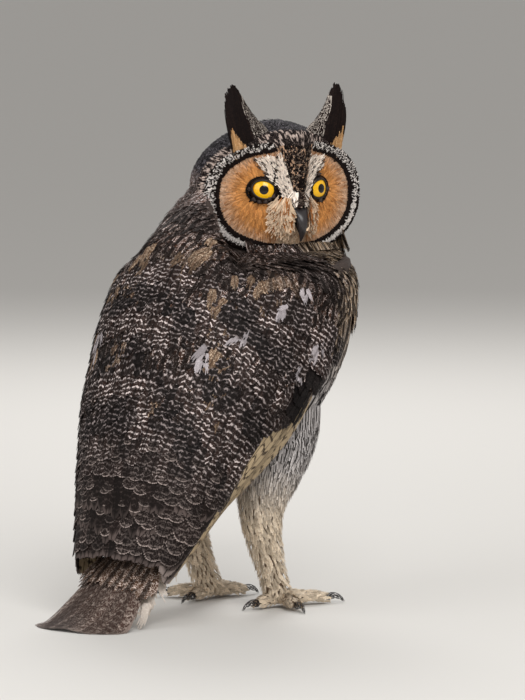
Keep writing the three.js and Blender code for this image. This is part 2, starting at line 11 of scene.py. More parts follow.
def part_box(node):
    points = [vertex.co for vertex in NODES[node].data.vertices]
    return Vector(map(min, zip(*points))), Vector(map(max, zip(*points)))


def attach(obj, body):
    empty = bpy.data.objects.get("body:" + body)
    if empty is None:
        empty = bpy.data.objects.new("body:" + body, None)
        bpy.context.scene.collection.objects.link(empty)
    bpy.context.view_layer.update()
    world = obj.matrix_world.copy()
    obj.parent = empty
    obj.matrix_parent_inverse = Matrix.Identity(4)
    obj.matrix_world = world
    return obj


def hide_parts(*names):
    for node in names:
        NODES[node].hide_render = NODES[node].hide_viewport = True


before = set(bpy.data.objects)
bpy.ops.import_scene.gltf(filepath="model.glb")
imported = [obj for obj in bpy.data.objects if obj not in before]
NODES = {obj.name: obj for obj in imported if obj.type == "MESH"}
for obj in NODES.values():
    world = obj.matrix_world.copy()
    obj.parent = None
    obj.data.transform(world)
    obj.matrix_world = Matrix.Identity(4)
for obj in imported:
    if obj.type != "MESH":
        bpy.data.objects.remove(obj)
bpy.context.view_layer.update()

SIDES = {1: "left", -1: "right"}
MM = 0.001
RAD = math.pi / 180

# Driving sizes of the form, in the bird's own frame before it is set down in the middle of its outline
HEAD_CENTRE = (0, -3, 243)
HEAD_TURN = -115 * RAD
HEAD_HALF = (50, 42, 37)  # side, front, up
EYE_SIDE, EYE_FRONT, EYE_UP = 17.8, 25.2, -1
EYE_RADIUS, EYE_SUNK = 9.6, 7.8
DISC_TURN = 24 * RAD
FACE_UP, FACE_SIDE, FACE_ABOVE, FACE_BELOW = -4, 45, 28, 31
FACE_DISH, FACE_CHIN, FACE_WEDGE = 3.4, 8, 3.6
FACE_BLUNT = 0.85  # under 1 the face's outline is squarer than an oval
DISH_SIDE, DISH_WIDE, DISH_TALL = 23, 22, 28
WEDGE_WIDE, WEDGE_UP, WEDGE_TALL = 6.5, 4, 24
RUFF_RISE, RUFF_AT, RUFF_WIDE = 0.05, 0.08, 0.07
LEG_SIDE, LEG_SPLAY, FOOT_FORWARD = 27, 0.002, -22

# Rows of the body: forward, up, half width, half depth to the back and to the belly
TORSO_ROWS = [
    [2, 242, 38, 38, 36],
    [-2, 227, 50, 49, 44],
    [-8, 211, 58, 56, 52],
    [-15, 194, 64, 60, 59],
    [-27, 171, 66, 61, 64],
    [-44, 146, 65, 60, 62],
    [-61, 123, 57, 52, 54],
    [-79, 101, 44, 38, 39],
    [-94, 83, 26, 20, 21],
    [-104, 72, 8, 6, 6],
]
# Rows of the cloak of folded wings over the back: forward, up, half width, half depth
CLOAK_ROWS = [
    [-3, 220, 46, 47],
    [-11, 203, 63, 62],
    [-25, 178, 71, 69],
    [-42, 152, 72, 70],
    [-61, 127, 69, 64],
    [-82, 103, 62, 52],
    [-101, 77, 51, 38],
    [-116, 51, 43, 25],
    [-131, 26, 33, 15],
]
# Rows of the tail: forward and up; then its half widths at shares of its length
TAIL_ROWS = [[-72, 92], [-98, 62], [-124, 38], [-146, 19], [-164, 6.5], [-182, 0.4]]
TAIL_HALF = [[0, 17], [0.25, 21], [0.5, 27], [0.8, 33], [1, 34]]
TAIL_ARCH = 0.006
# Rows of a leg: forward, up, half width
LEG_ROWS = [
    [-30, 120, 24],
    [-33, 98, 23],
    [-38, 80, 19],
    [-42, 64, 14],
    [-42, 52, 11.5],
    [-38, 38, 9.5],
    [-31, 22, 8],
    [-25, 8, 8],
]
TOES = [(-12, 25), (22, 31), (118, 25), (187, 20)]  # degrees outward from straight ahead, length
TOE_HALF, TOE_UP = 4.3, 2.6
TOE_SHARES, TOE_WIDTHS, TOE_RISES = [0, 0.4, 0.75, 1], [1.3, 1.1, 1.05, 0.7], [2.2, 1.4, 0.8, 0]


# Curves and surfaces

def row_at(rows, share):
    """Rows of a table at shares from 0 to 1 down it: a smooth curve, straight on past both ends."""
    rows = np.asarray(rows, float)
    last = len(rows) - 1
    share = np.asarray(share, float)
    inside = np.clip(share, 0.01, 0.99)
    step = 0.005

    def curve(at):
        place = at * last
        k = np.minimum(place.astype(int), last - 1)
        t = (place - k)[..., None]
        a, b, c, d = (rows[np.clip(k + i, 0, last)] for i in (-1, 0, 1, 2))
        square, cube = 2 * a - 5 * b + 4 * c - d, 3 * b - a - 3 * c + d
        return 0.5 * (2 * b + (c - a) * t + square * t**2 + cube * t**3)

    slope = (curve(inside + step) - curve(inside - step)) / (2 * step)
    return curve(inside) + slope * (share - inside)[..., None]


def point(side, forward, up):
    side, forward, up = np.broadcast_arrays(side, forward, up)
    return np.stack([side, -forward, up], axis=-1).astype(float)


def back_way(rows, share):
    """The way to the back, square to a table's middle line, in forward and up."""
    step = 0.01
    near = np.clip(share, step, 1 - step)
    run = row_at(rows, near - step)[..., :2] - row_at(rows, near + step)[..., :2]
    run /= np.linalg.norm(run, axis=-1, keepdims=True)
    return -run[..., 1], run[..., 0]


def middle_line(table, share):
    """A table's rows at these shares, and points beside its middle line: to the side and out to the back."""
    rows = row_at(table, share)
    back_f, back_u = back_way(table, share)

    def beside(side, out):
        return point(side, rows[..., 0] + back_f * out, rows[..., 1] + back_u * out)
    return rows, beside


def torso(share, angle):
    """The body's surface; angle 0 is the left side, 90 the back and -90 the belly."""
    rows, beside = middle_line(TORSO_ROWS, share)
    s = np.sin(angle * RAD)
    return beside(rows[..., 2] * np.cos(angle * RAD), np.where(s > 0, rows[..., 3], rows[..., 4]) * s)


def cloak(hand):
    """The surface of one folded wing; angle 0 is its outer side and 90 the middle of the back."""
    def surface(share, angle):
        rows, beside = middle_line(CLOAK_ROWS, share)
        return beside(hand * rows[..., 2] * np.cos(angle * RAD), rows[..., 3] * np.sin(angle * RAD))
    return surface


def tail(share, across):
    """The tail's upper surface; across runs from -1 to 1."""
    share = np.asarray(share, float)
    side = across * np.interp(share, *np.transpose(TAIL_HALF))
    return middle_line(TAIL_ROWS, share)[1](side, -TAIL_ARCH * side**2)


def leg(hand):
    """The surface round one leg; angle 0 is its outer side, 90 the front."""
    def surface(share, angle):
        rows, beside = middle_line(LEG_ROWS, share)
        up, half = rows[..., 1], rows[..., 2]
        side = LEG_SIDE * (1 + LEG_SPLAY * (up - 20)) + half * np.cos(angle * RAD)
        return beside(hand * side, -half * np.sin(angle * RAD))
    return surface


def toe(hand, turn, length):
    """The surface round one toe; angle 90 is its top."""
    way = np.array([hand * math.sin(turn * RAD), -math.cos(turn * RAD), 0])
    over = np.cross(way, [0, 0, 1])
    foot = point(hand * LEG_SIDE, FOOT_FORWARD, 0)

    def surface(share, angle):
        share, angle = np.broadcast_arrays(np.asarray(share, float), angle)
        half = TOE_HALF * np.interp(share, TOE_SHARES, TOE_WIDTHS)
        across = half * np.cos(angle * RAD)
        up = TOE_UP + np.interp(share, TOE_SHARES, TOE_RISES) + half * np.sin(angle * RAD)
        return foot + (share * length)[..., None] * way + across[..., None] * over + up[..., None] * [0, 0, 1]
    return surface


# The head: side, front and up from its middle, then turned over the shoulder
DISC_SLOPE = math.tan(DISC_TURN)
DISC_FRONT = EYE_FRONT + EYE_SIDE * DISC_SLOPE
HEAD_COS, HEAD_SIN = math.cos(HEAD_TURN), math.sin(HEAD_TURN)


def on_head(side, front, up):
    """Places in the bird's frame from sizes on the head."""
    side, front, up = np.broadcast_arrays(side, front, up)
    x, y = HEAD_COS * side + HEAD_SIN * front, HEAD_SIN * side - HEAD_COS * front
    return np.stack([x, y, up], axis=-1) + HEAD_CENTRE


def from_head(points):
    """Sizes on the head from places in the bird's frame."""
    x, y, z = np.moveaxis(points - np.array(HEAD_CENTRE), -1, 0)
    return HEAD_COS * x + HEAD_SIN * y, HEAD_SIN * x - HEAD_COS * y, z


def head_way(side, front, up):
    way = on_head(side, front, up) - np.array(HEAD_CENTRE)
    return way / np.linalg.norm(way, axis=-1, keepdims=True)


def face_front(x, z):
    """How far to the front the face is by side and up: two shallow dishes and the wedge between them."""
    from_dish = np.hypot((np.abs(x) - DISH_SIDE) / DISH_WIDE, (z - FACE_UP) / DISH_TALL)
    dish = FACE_DISH * np.maximum(0, 1 - from_dish**2)
    chin = FACE_CHIN * (np.maximum(0, FACE_UP - z) / FACE_BELOW) ** 2
    wedge = FACE_WEDGE * np.exp(-((x / WEDGE_WIDE) ** 2)) * np.exp(-(((z - WEDGE_UP) / WEDGE_TALL) ** 2))
    return DISC_FRONT - DISC_SLOPE * np.abs(x) - dish - chin + wedge


def face_sizes(share, turn):
    """Side, front and up of the face from its middle (0) to its rim (1), all the way round."""
    share, turn = np.broadcast_arrays(np.asarray(share, float), np.asarray(turn, float))
    blunt = lambda v: np.sign(v) * np.abs(v) ** FACE_BLUNT
    c, s = blunt(np.cos(turn * RAD)), blunt(np.sin(turn * RAD))
    x = share * FACE_SIDE * c
    z = FACE_UP + share * np.where(s > 0, FACE_ABOVE, FACE_BELOW) * s
    return x, face_front(x, z), z


def crown(share, turn):
    """The head's top, sides and nape, from the face's rim (0) to the middle of its back (1)."""
    share, turn = np.broadcast_arrays(np.asarray(share, float), np.asarray(turn, float))
    x, f, z = face_sizes(np.ones_like(share), turn)
    a, b, c = x / HEAD_HALF[0], f / HEAD_HALF[1], z / HEAD_HALF[2]
    tilt = np.arctan2(np.hypot(a, c), b)
    way = tilt + (math.pi - tilt) * share
    around = np.arctan2(c, a)
    ruff = RUFF_RISE * np.exp(-(((share - RUFF_AT) / RUFF_WIDE) ** 2))
    size = 1 + (np.sqrt(a * a + b * b + c * c) - 1) * (1 - share) ** 2 + ruff
    return on_head(HEAD_HALF[0] * np.sin(way) * np.cos(around) * size, HEAD_HALF[1] * np.cos(way) * size,
                   HEAD_HALF[2] * np.sin(way) * np.sin(around) * size)


def face_plane(x, z):
    """The face's surface by side and up sizes, for feathers that spread from the eyes or the bill."""
    return on_head(x, face_front(x, z), z)


# The room before the face that no feather of the neck may enter: how deep, how far down and to each side
FACE_CLEAR, FACE_FLOOR, FACE_WALL = 7, -37, 46
WALL_SPREAD, FLOOR_DROP = 0.17, 0.15


def clear_face(points):
    """Moves feathers out of the room before the face by the shortest way: back, sideways or down."""
    side, front, z = from_head(points)
    limit = DISC_FRONT - DISC_SLOPE * np.minimum(np.abs(side), FACE_WALL) - FACE_CLEAR
    wall = FACE_WALL + WALL_SPREAD * np.maximum(0, front - limit)
    floor = FACE_FLOOR - FLOOR_DROP * np.maximum(0, front - DISC_FRONT)
    back, aside, down = front - limit, wall - np.abs(side), z - floor
    within = (back > 0) & (aside > 0) & (down > 0)
    least = np.minimum(np.minimum(back, aside), down)
    front = np.where(within & (back == least), limit, front)
    side = np.where(within & (aside == least), np.sign(side) * wall, side)
    z = np.where(within & (down == least), floor, z)
    return on_head(side, front, z)


def behind_face(points):
    """Whether a root lies behind the face, under the chin or beside it, not on the face itself."""
    side, front, z = from_head(points)
    side = np.abs(side)
    behind = front < DISC_FRONT - DISC_SLOPE * side - 10
    beside = (side > FACE_WALL + 2) | ((side > FACE_WALL - 18) & (front > DISC_FRONT + 4))
    return behind | beside | (z < FACE_FLOOR + 9)


def eye_centre(hand):
    """An eye's middle, and the way it looks in side, front and up."""
    way = np.array([hand * math.sin(DISC_TURN), math.cos(DISC_TURN), 0.02])
    way /= np.linalg.norm(way)
    return on_head(hand * EYE_SIDE - way[0] * EYE_SUNK, EYE_FRONT - way[1] * EYE_SUNK, EYE_UP), way


def frame_middle(node):
    low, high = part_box(node)
    return (np.array(low) + np.array(high)) / 2 / MM


# Where the frame stands: its eyes against the same eyes here
SHIFT = sum(frame_middle("eye_" + side) - eye_centre(hand)[0] for hand, side in SIDES.items()) / 2


# Meshes

def new_object(name, mesh):
    obj = bpy.data.objects.new(name, mesh)
    bpy.context.scene.collection.objects.link(obj)
    return obj


def dress(obj, slot, *nodes):
    """Says what a piece rides on and the nodes it stands for. slot is not used."""
    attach(obj, "root")
    if nodes:
        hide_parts(*nodes)


def mesh_object(name, points, faces, material):
    """An object from points in millimetres and faces of four or three corners."""
    mesh = bpy.data.meshes.new(name)
    mesh.from_pydata(((np.asarray(points) + SHIFT) * MM).tolist(), [], faces)
    mesh.update()
    mesh.shade_smooth()
    mesh.materials.append(material)
    return new_object(name, mesh)


def tube(rings, closed_ends=True):
    """Points and faces of a closed skin over rings of as many points each."""
    rings = np.asarray(rings)
    count, n, _ = rings.shape
    points = rings.reshape(-1, 3).tolist()
    sides = [(i, (i + 1) % n) for i in range(n)]
    starts = [r * n for r in range(count - 1)]
    faces = [(r + i, r + j, r + n + j, r + n + i) for r in starts for i, j in sides]
    if closed_ends:
        points += [rings[0].mean(axis=0).tolist(), rings[-1].mean(axis=0).tolist()]
        last = (count - 1) * n
        faces += [(j, i, count * n) for i, j in sides]
        faces += [(last + i, last + j, count * n + 1) for i, j in sides]
    return points, faces


def full_turn(count):
    return np.linspace(0, 2 * math.pi, count, endpoint=False)


# A surface to lay feathers on, kept as a fine grid

class Ground:
    """A surface of (a, b) with its outward way and its scale; feathers' tips point towards more of a."""

    def __init__(self, at, out, a_range, b_range, cuts=220):
        self.low = np.array([a_range[0], b_range[0]], float)
        self.size = np.array([a_range[1], b_range[1]], float) - self.low
        self.cuts = cuts
        a, b = np.meshgrid(np.linspace(*a_range, cuts + 1), np.linspace(*b_range, cuts + 1), indexing="ij")
        place = at(a, b)
        step = self.size / cuts
        run_a = np.gradient(place, step[0], axis=0)
        run_b = np.gradient(place, step[1], axis=1)
        normal = np.cross(run_a, run_b) * out
        normal /= np.maximum(np.linalg.norm(normal, axis=-1, keepdims=True), 1e-9)
        scale_a = np.linalg.norm(run_a, axis=-1, keepdims=True)
        scale_b = np.linalg.norm(run_b, axis=-1, keepdims=True)
        self.grid = np.concatenate([place, normal, scale_a, scale_b], axis=-1)

    def read(self, a, b):
        """Place, outward way and millimetres per unit of a and of b."""
        pa = (a - self.low[0]) / self.size[0] * self.cuts
        pb = (b - self.low[1]) / self.size[1] * self.cuts
        i = np.clip(pa.astype(int), 0, self.cuts - 1)
        j = np.clip(pb.astype(int), 0, self.cuts - 1)
        s, t = np.clip(pa - i, -2, 3)[..., None], np.clip(pb - j, -2, 3)[..., None]
        g = self.grid
        near, far = g[i, j] * (1 - s) + g[i + 1, j] * s, g[i, j + 1] * (1 - s) + g[i + 1, j + 1] * s
        got = near * (1 - t) + far * t
        return got[..., 0:3], got[..., 3:6], got[..., 6], got[..., 7]

    def map(self, a, b):
        """Where a root lies on the unwrap of this surface."""
        return (b - self.low[1]) / self.size[1], (a - self.low[0]) / self.size[0]


NECK_SPINE = [[4, 254], [0, 234], [-8, 211], [-20, 185], [-35, 158], [-52, 132], [-72, 108], [-92, 84]]
REACH, LEAST_OUT = 150, 15  # how far out the surface is looked for, and the least it can be
EVEN = 3  # cells to each side that a reading is evened out with


def joined(names):
    """The points, in metres, and the faces of these nodes of the frame."""
    points, faces = [], []
    for name in names:
        node = NODES[name]
        start = len(points)
        points += [node.matrix_world @ v.co for v in node.data.vertices]
        faces += [[start + i for i in p.vertices] for p in node.data.polygons]
    return points, faces


def outside(names, spine, rounds=3):
    """A surface read from the frame: the outside of these nodes round a bent line, a little evened out."""
    tree = BVHTree.FromPolygons(*joined(names))

    def surface(a, b):
        _, beside = middle_line(spine, a)
        middle = beside(0, 0)
        way = beside(np.cos(b * RAD), np.sin(b * RAD)) - middle
        far = np.full(a.shape, float(LEAST_OUT))
        for index in np.ndindex(a.shape):
            start = (middle[index] + way[index] * REACH + SHIFT) * MM
            distance = tree.ray_cast(Vector(start), Vector(-way[index]))[3]
            if distance is not None:
                far[index] = max(REACH - distance / MM, LEAST_OUT)
        for _ in range(rounds):
            for axis in (0, 1):
                edged = np.pad(far, [(EVEN, EVEN) if k == axis else (0, 0) for k in (0, 1)], mode="edge")
                near = [np.take(edged, np.arange(far.shape[axis]) + k, axis) for k in range(2 * EVEN + 1)]
                far = sum(near) / len(near)
        return middle + way * far[..., None]
    return surface


def smooth(low, high, value):
    t = np.clip((value - low) / (high - low), 0, 1)
    return t * t * (3 - 2 * t)


def srgb(red, green, blue):
    """A colour as it is seen, 0 to 255, as the light it gives back."""
    c = np.array([red, green, blue]) / 255
    return np.where(c <= 0.04045, c / 12.92, ((c + 0.055) / 1.055) ** 2.4)


def paint(*colour, share=1.0):
    """A seen colour, or a share of its light, as a shader takes it."""
    return (*srgb(*colour) * share, 1.0)


def blend_looks(share, first, second):
    """Each value of two looks mixed feather by feather."""
    share = np.asarray(share, float)[:, None]
    return {name: first[name] * (1 - share) + second[name] * share for name in first}


def look(ground, pale, bars=0.0, mottle=0.0, edge=0.0, shaft=0.0, width=0.2, tip=0.0):
    """What a feather looks like: its ground and pale colours and how strong each marking is."""
    return {"ground": srgb(*ground), "pale": srgb(*pale), "mark": np.array([bars, mottle, edge]),
            "streak": np.array([shaft, width, tip])}


LOOKS = ("ground", "pale", "mark", "streak")
LAYERS = ("vane", "place") + LOOKS
ROOT_MAP = 0.003  # the share of the map that a small feather takes
LEAST_UP = 0.2  # over the floor


def spread(values):
    """One value for each feather, over its strips, rows and edges."""
    return values[:, None, None, None]


class Coat:
    """Feathers that become one mesh: fans of barb strips on a surface, with what their finish needs."""

    def __init__(self, seed):
        self.random = np.random.default_rng(seed)
        self.points, self.faces, self.maps = [], [], []
        self.layers = {name: [] for name in LAYERS}
        self.count = 0

    def lay(self, ground, a, b, look_, length, width, turn=0, **form):
        """Feathers with roots at (a, b), sized in mm and turned by degrees from the surface's own way."""
        a, b, length, turn = np.broadcast_arrays(np.asarray(a, float), b, length, turn)
        _, _, scale_a, scale_b = ground.read(a, b)
        reach_a = length * np.cos(turn * RAD) / scale_a
        reach_b = -length * np.sin(turn * RAD) / scale_b
        self.vanes(ground, a, b, a + reach_a, b + reach_b, look_, width, **form)

    def vanes(self, ground, a, b, a1, b1, look_, width, lift, rise, camber, strips, rows, fray, taper,
              root=0.5, cells=None, stretch=1.0, rough=0.1):
        """Feathers from (a, b) to (a1, b1). lift and rise are the heights of root and tip over the surface,
        camber the drop of the edges, fray how deep the tip splits, taper how far the edges stop short of it,
        root the root's share of the width, stretch the scale of the bars and rough how uneven the strips lie.
        cells lays the maps in a grid of that many each way."""
        a, b, a1, b1, width, lift, rise = (np.array(v, float) for v in np.broadcast_arrays(
            a, b, a1, b1, width, lift, rise))
        n = a.size
        if n == 0:
            return
        rnd = self.random
        middles = (np.arange(strips) + 0.5) / strips * 2 - 1
        reach = 1 - taper * np.abs(middles)[None, :] ** 2.4 - fray * rnd.random((n, strips))
        shares = np.linspace(0, 1, rows)
        v = np.repeat((reach[:, :, None] * shares)[..., None], 2, axis=3)
        narrow = (1.12 - 0.75 * min(1, fray * 2) * np.clip(shares - 0.5, 0, 1) ** 1.2) / strips
        u = middles[None, :, None, None] + np.array([-1, 1]) * narrow[None, None, :, None]
        u = np.broadcast_to(u, v.shape)
        open_ = root + (1 - root) * np.sin(np.clip(v / 0.6, 0, 1) * math.pi / 2)
        x = u * spread(width) / 2 * open_
        _, _, scale_a, scale_b = ground.read(a, b)
        go_a, go_b = (a1 - a) * scale_a, (b1 - b) * scale_b
        length = np.maximum(np.hypot(go_a, go_b), 1e-6)
        y = v * spread(length)
        mid_a = spread(a) + v * spread(a1 - a)
        mid_b = spread(b) + v * spread(b1 - b)
        _, _, local_a, local_b = ground.read(mid_a, mid_b)
        at_a = mid_a - x * spread(go_b / length) / local_a
        at_b = mid_b + x * spread(go_a / length) / local_b
        base, normal, _, _ = ground.read(at_a, at_b)
        high = (spread(lift) + spread(rise - lift) * v - camber * u**2 * (0.3 + 0.7 * v)
                + rough * rnd.standard_normal((n, strips, 1, 1)))
        self.take(base + normal * high[..., None], u, v, x, y * stretch, look_)
        self.face_up(n, strips, rows)
        if cells:
            i, j = np.arange(n) % cells, (np.arange(n) // cells) % cells
            map_u, map_v = (spread(i) + 0.5 + 0.46 * u) / cells, (spread(j) + 0.02 + 0.95 * v) / cells
        else:
            root_u, root_v = ground.map(a, b)
            map_u, map_v = spread(root_u) + ROOT_MAP / 2 * u, spread(root_v) + ROOT_MAP * v
        self.maps.append(np.stack([map_u, map_v], axis=-1).reshape(-1, 2))

    def take(self, place, u, v, x, y, look_):
        """Keeps the points and, on each, where it is on its feather and what the feather looks like."""
        self.points.append(place.reshape(-1, 3))
        n = place.shape[0]
        for name, first, second, most in (("vane", x, y, 60), ("place", u, v, 1)):
            own = np.broadcast_to(spread(self.random.random(n) * most), u.shape)
            self.layers[name].append(np.stack([first, second, own], axis=-1).reshape(-1, 3))
        for name in LOOKS:
            values = spread(np.broadcast_to(look_[name], (n, 3)))
            self.layers[name].append(np.broadcast_to(values, u.shape + (3,)).reshape(-1, 3))

    def face_up(self, n, strips, rows):
        """The quads of the strips whose points were just taken."""
        start = self.count + np.arange(n * strips) * rows * 2
        k = np.arange(rows - 1) * 2
        quad = np.stack([k, k + 1, k + 3, k + 2], axis=-1)
        self.faces.append((start[:, None, None] + quad[None]).reshape(-1, 4))
        self.count += n * strips * rows * 2

    def build(self, name, material, slot, replaces=(), press=None):
        points = np.concatenate(self.points)
        points = ((press(points) if press else points) + SHIFT) * MM
        points[:, 2] = np.maximum(points[:, 2], LEAST_UP * MM)
        faces = np.concatenate(self.faces)
        mesh = bpy.data.meshes.new(name)
        mesh.vertices.add(len(points))
        mesh.vertices.foreach_set("co", points.astype(np.float32).ravel())
        mesh.loops.add(faces.size)
        mesh.loops.foreach_set("vertex_index", faces.astype(np.int32).ravel())
        mesh.polygons.add(len(faces))
        mesh.polygons.foreach_set("loop_start", np.arange(0, faces.size, 4, dtype=np.int32))
        mesh.update(calc_edges=True)
        for layer, values in self.layers.items():
            data = mesh.attributes.new(layer, "FLOAT_VECTOR", "POINT")
            data.data.foreach_set("vector", np.concatenate(values).astype(np.float32).ravel())
        uv = mesh.uv_layers.new(name="OFBake")
        uv.data.foreach_set("uv", np.concatenate(self.maps)[faces.ravel()].astype(np.float32).ravel())
        mesh.shade_smooth()
        mesh.materials.append(material)
        dress(new_object(name, mesh), slot, *replaces)
        print(name, len(faces) * 2, "triangles")


# Finishes

class Graph:
    """The nodes of one finish."""

    def __init__(self, name, roughness, **settings):
        self.material = bpy.data.materials.new(name)
        self.material.use_nodes = True
        self.tree = self.material.node_tree
        self.shader = self.tree.nodes["Principled BSDF"]
        self.shader.inputs["Roughness"].default_value = roughness
        for socket, value in settings.items():
            self.shader.inputs[socket.replace("_", " ")].default_value = value

    def put(self, socket, value):
        if isinstance(value, bpy.types.NodeSocket):
            self.tree.links.new(value, socket)
        else:
            socket.default_value = value

    def node(self, kind, inputs=(), **settings):
        node = self.tree.nodes.new(kind)
        for key, value in settings.items():
            setattr(node, key, value)
        for key, value in dict(inputs).items():
            self.put(node.inputs[key], value)
        return node

    def math(self, operation, first, second=0.0, third=0.0):
        node = self.node("ShaderNodeMath", {0: first, 1: second, 2: third}, operation=operation)
        return node.outputs[0]

    def attribute(self, name):
        return self.node("ShaderNodeAttribute", attribute_name=name).outputs["Vector"]

    def split(self, vector):
        return self.node("ShaderNodeSeparateXYZ", {0: vector}).outputs[:3]

    def here(self):
        return self.node("ShaderNodeTexCoord").outputs["Object"]

    def vector(self, operation, inputs, output="Vector"):
        return self.node("ShaderNodeVectorMath", inputs, operation=operation).outputs[output]

    def product(self, *values):
        whole = values[0]
        for value in values[1:]:
            whole = self.math("MULTIPLY", whole, value)
        return whole

    def noise(self, vector, scale=1.0, detail=2.0, stretch=None):
        if stretch:
            vector = self.vector("MULTIPLY", {0: vector, 1: stretch})
        inputs = {"Vector": vector, "Scale": scale, "Detail": detail}
        return self.node("ShaderNodeTexNoise", inputs).outputs["Fac"]

    def ramp(self, value, low, high):
        inputs = {"Value": value, "From Min": low, "From Max": high}
        return self.node("ShaderNodeMapRange", inputs, interpolation_type="SMOOTHSTEP").outputs["Result"]

    def mix(self, share, first, second):
        node = self.node("ShaderNodeMix", data_type="RGBA")
        for key, value in ((0, share), (6, first), (7, second)):
            self.put(node.inputs[key], value)
        return node.outputs[2]

    def bump(self, height, strength, distance):
        inputs = {"Height": height, "Strength": strength, "Distance": distance}
        normal = self.node("ShaderNodeBump", inputs).outputs["Normal"]
        self.put(self.shader.inputs["Normal"], normal)

    def colour(self, value):
        self.put(self.shader.inputs["Base Color"], value)
        return self.material


DARK = paint(22, 15, 12)


BAR_PERIOD = 3.2  # millimetres from bar to bar


def plumage(name, edge_at=(0.8, 0.95), roughness=0.75):
    """Feather colours: pale wavy bars, squiggles and edges, then a dark streak on the shaft and a tip."""
    g = Graph(name, roughness, Specular_IOR_Level=0.12)
    vane = g.attribute("vane")
    y = g.split(vane)[1]
    u, v, tone = g.split(g.attribute("place"))
    bars, mottle, edge = g.split(g.attribute("mark"))
    shaft, width, tip = g.split(g.attribute("streak"))
    # Bars across the vane, waved and broken by noise; tone runs from 0 to 1 feather by feather
    wave = g.noise(vane, detail=3.0, stretch=(0.3, 0.1, 1.0))
    run = g.math("ADD", g.math("DIVIDE", y, BAR_PERIOD), g.product(wave, 2.2))
    swing = g.math("SINE", g.product(g.math("ADD", run, tone), 2 * math.pi))
    broken = g.ramp(g.noise(vane, detail=1.0, stretch=(0.35, 0.2, 2.0)), 0.34, 0.5)
    stripe = g.product(g.ramp(swing, 0.45, 0.9), broken)
    # Squiggles along the level lines of a noise
    grain = g.noise(vane, stretch=(0.3, 0.3, 1.0))
    line = g.math("ABSOLUTE", g.math("SUBTRACT", g.math("FRACT", g.product(grain, 7.0)), 0.5))
    squiggle = g.ramp(line, 0.33, 0.43)
    # The rim runs up both sides and round the end
    side = g.math("ABSOLUTE", u)
    rounded = g.math("MULTIPLY_ADD", g.math("POWER", side, 2.4), 0.35, v)
    rim = g.ramp(g.math("MAXIMUM", side, rounded), *edge_at)
    pale = g.math("ADD", g.product(bars, stripe), g.product(mottle, squiggle))
    pale = g.math("MAXIMUM", pale, g.product(edge, rim))
    pale = g.math("MINIMUM", g.product(pale, g.ramp(tone, -0.5, 0.6)), 1.0)
    colour = g.mix(pale, g.attribute("ground"), g.attribute("pale"))
    near = g.math("SUBTRACT", 1.0, g.ramp(g.math("DIVIDE", side, width), 0.6, 1.2))
    dark = g.math("MAXIMUM", g.product(shaft, near), g.product(tip, g.ramp(v, 0.72, 0.95)))
    colour = g.mix(dark, colour, DARK)
    # Fine barbs, and a tone of its own for each feather
    barb = g.noise(vane, stretch=(5.0, 0.5, 1.0))
    shade = g.product(g.math("ADD", 0.62, g.product(barb, 0.76)), g.math("ADD", 0.7, g.product(tone, 0.6)))
    g.bump(barb, 0.35, 0.0004)
    return g.colour(g.vector("SCALE", {0: colour, "Scale": shade}))


def horn(name, colour):
    g = Graph(name, 0.32, Specular_IOR_Level=0.5)
    spots = g.noise(g.here(), scale=900.0, detail=3.0)
    g.bump(spots, 0.12, 0.0003)
    return g.colour(g.mix(spots, paint(*colour, share=0.6), paint(*colour, share=1.5)))


def skin_finish():
    """The skin as it shows between feathers: dark above, pale down below."""
    g = Graph("under down", 0.9)
    place = g.here()
    fluff = g.noise(place, scale=500.0, detail=3.0)
    g.bump(fluff, 0.4, 0.001)
    pale = g.mix(fluff, paint(128, 108, 90), paint(172, 150, 128))
    dark = g.mix(fluff, paint(34, 25, 22), paint(80, 66, 59))
    return g.colour(g.mix(g.ramp(g.split(place)[2], 0.13, 0.16), pale, dark))


def plain(name, colour, roughness):
    return Graph(name, roughness).colour(paint(*colour))


# The coat's own looks

TAWNY = look((196, 132, 72), (226, 176, 118), mottle=0.2)
FRINGE = look((184, 148, 120), (228, 204, 184), mottle=0.35)
RIM_BLACK = look((22, 13, 11), (50, 34, 26))
RIM_WHITE = look((206, 198, 192), (246, 242, 238), mottle=0.3)
EYE_BLACK = look((16, 8, 6), (40, 24, 18))
PLUME_WHITE = look((246, 232, 218), (255, 250, 244), mottle=0.3)
FOREHEAD = look((34, 22, 18), (190, 168, 150), mottle=0.6)
DISC_DARK = look((150, 92, 46), (196, 140, 84), mottle=0.3)
BRISTLE = look((210, 182, 152), (244, 228, 208), mottle=0.3)
CROWN = look((12, 9, 11), (136, 130, 136), mottle=0.55, edge=0.15)
NAPE = look((104, 80, 70), (242, 230, 226), mottle=0.9, edge=0.85, shaft=0.7, width=0.3)
NAPE_DARK = look((52, 36, 30), (214, 198, 192), mottle=0.6, edge=0.3, shaft=0.95, width=0.34)
MANTLE = look((76, 52, 40), (232, 216, 210), mottle=0.95, shaft=0.95, width=0.38)
MANTLE_DARK = look((29, 18, 14), (196, 180, 174), mottle=0.5, shaft=0.9, width=0.36)
WARM = look((104, 82, 65), (194, 173, 150), mottle=0.75, shaft=0.5, width=0.16)
SPOT = look((158, 150, 152), (198, 190, 192), mottle=0.5)
BREAST = look((168, 144, 118), (236, 226, 214), mottle=0.45, edge=0.4, shaft=0.95, width=0.36)
BELLY = look((186, 180, 178), (236, 234, 234), mottle=0.3, edge=0.3, shaft=0.95, width=0.26)
DOWN = look((206, 188, 164), (242, 232, 218), mottle=0.35, edge=0.3)
VENT = look((208, 196, 184), (240, 232, 224), mottle=0.3)
COVERT = look((42, 28, 23), (206, 192, 188), bars=0.9, mottle=0.1, edge=0.1, shaft=0.8, width=0.12)
COVERT_DARK = look((15, 9, 8), (150, 138, 136), bars=0.7, mottle=0.1, shaft=0.8, width=0.16)
FLIGHT_LONG = look((22, 14, 12), (96, 84, 80), bars=0.3, mottle=0.1, edge=0.7, shaft=0.8, width=0.05)
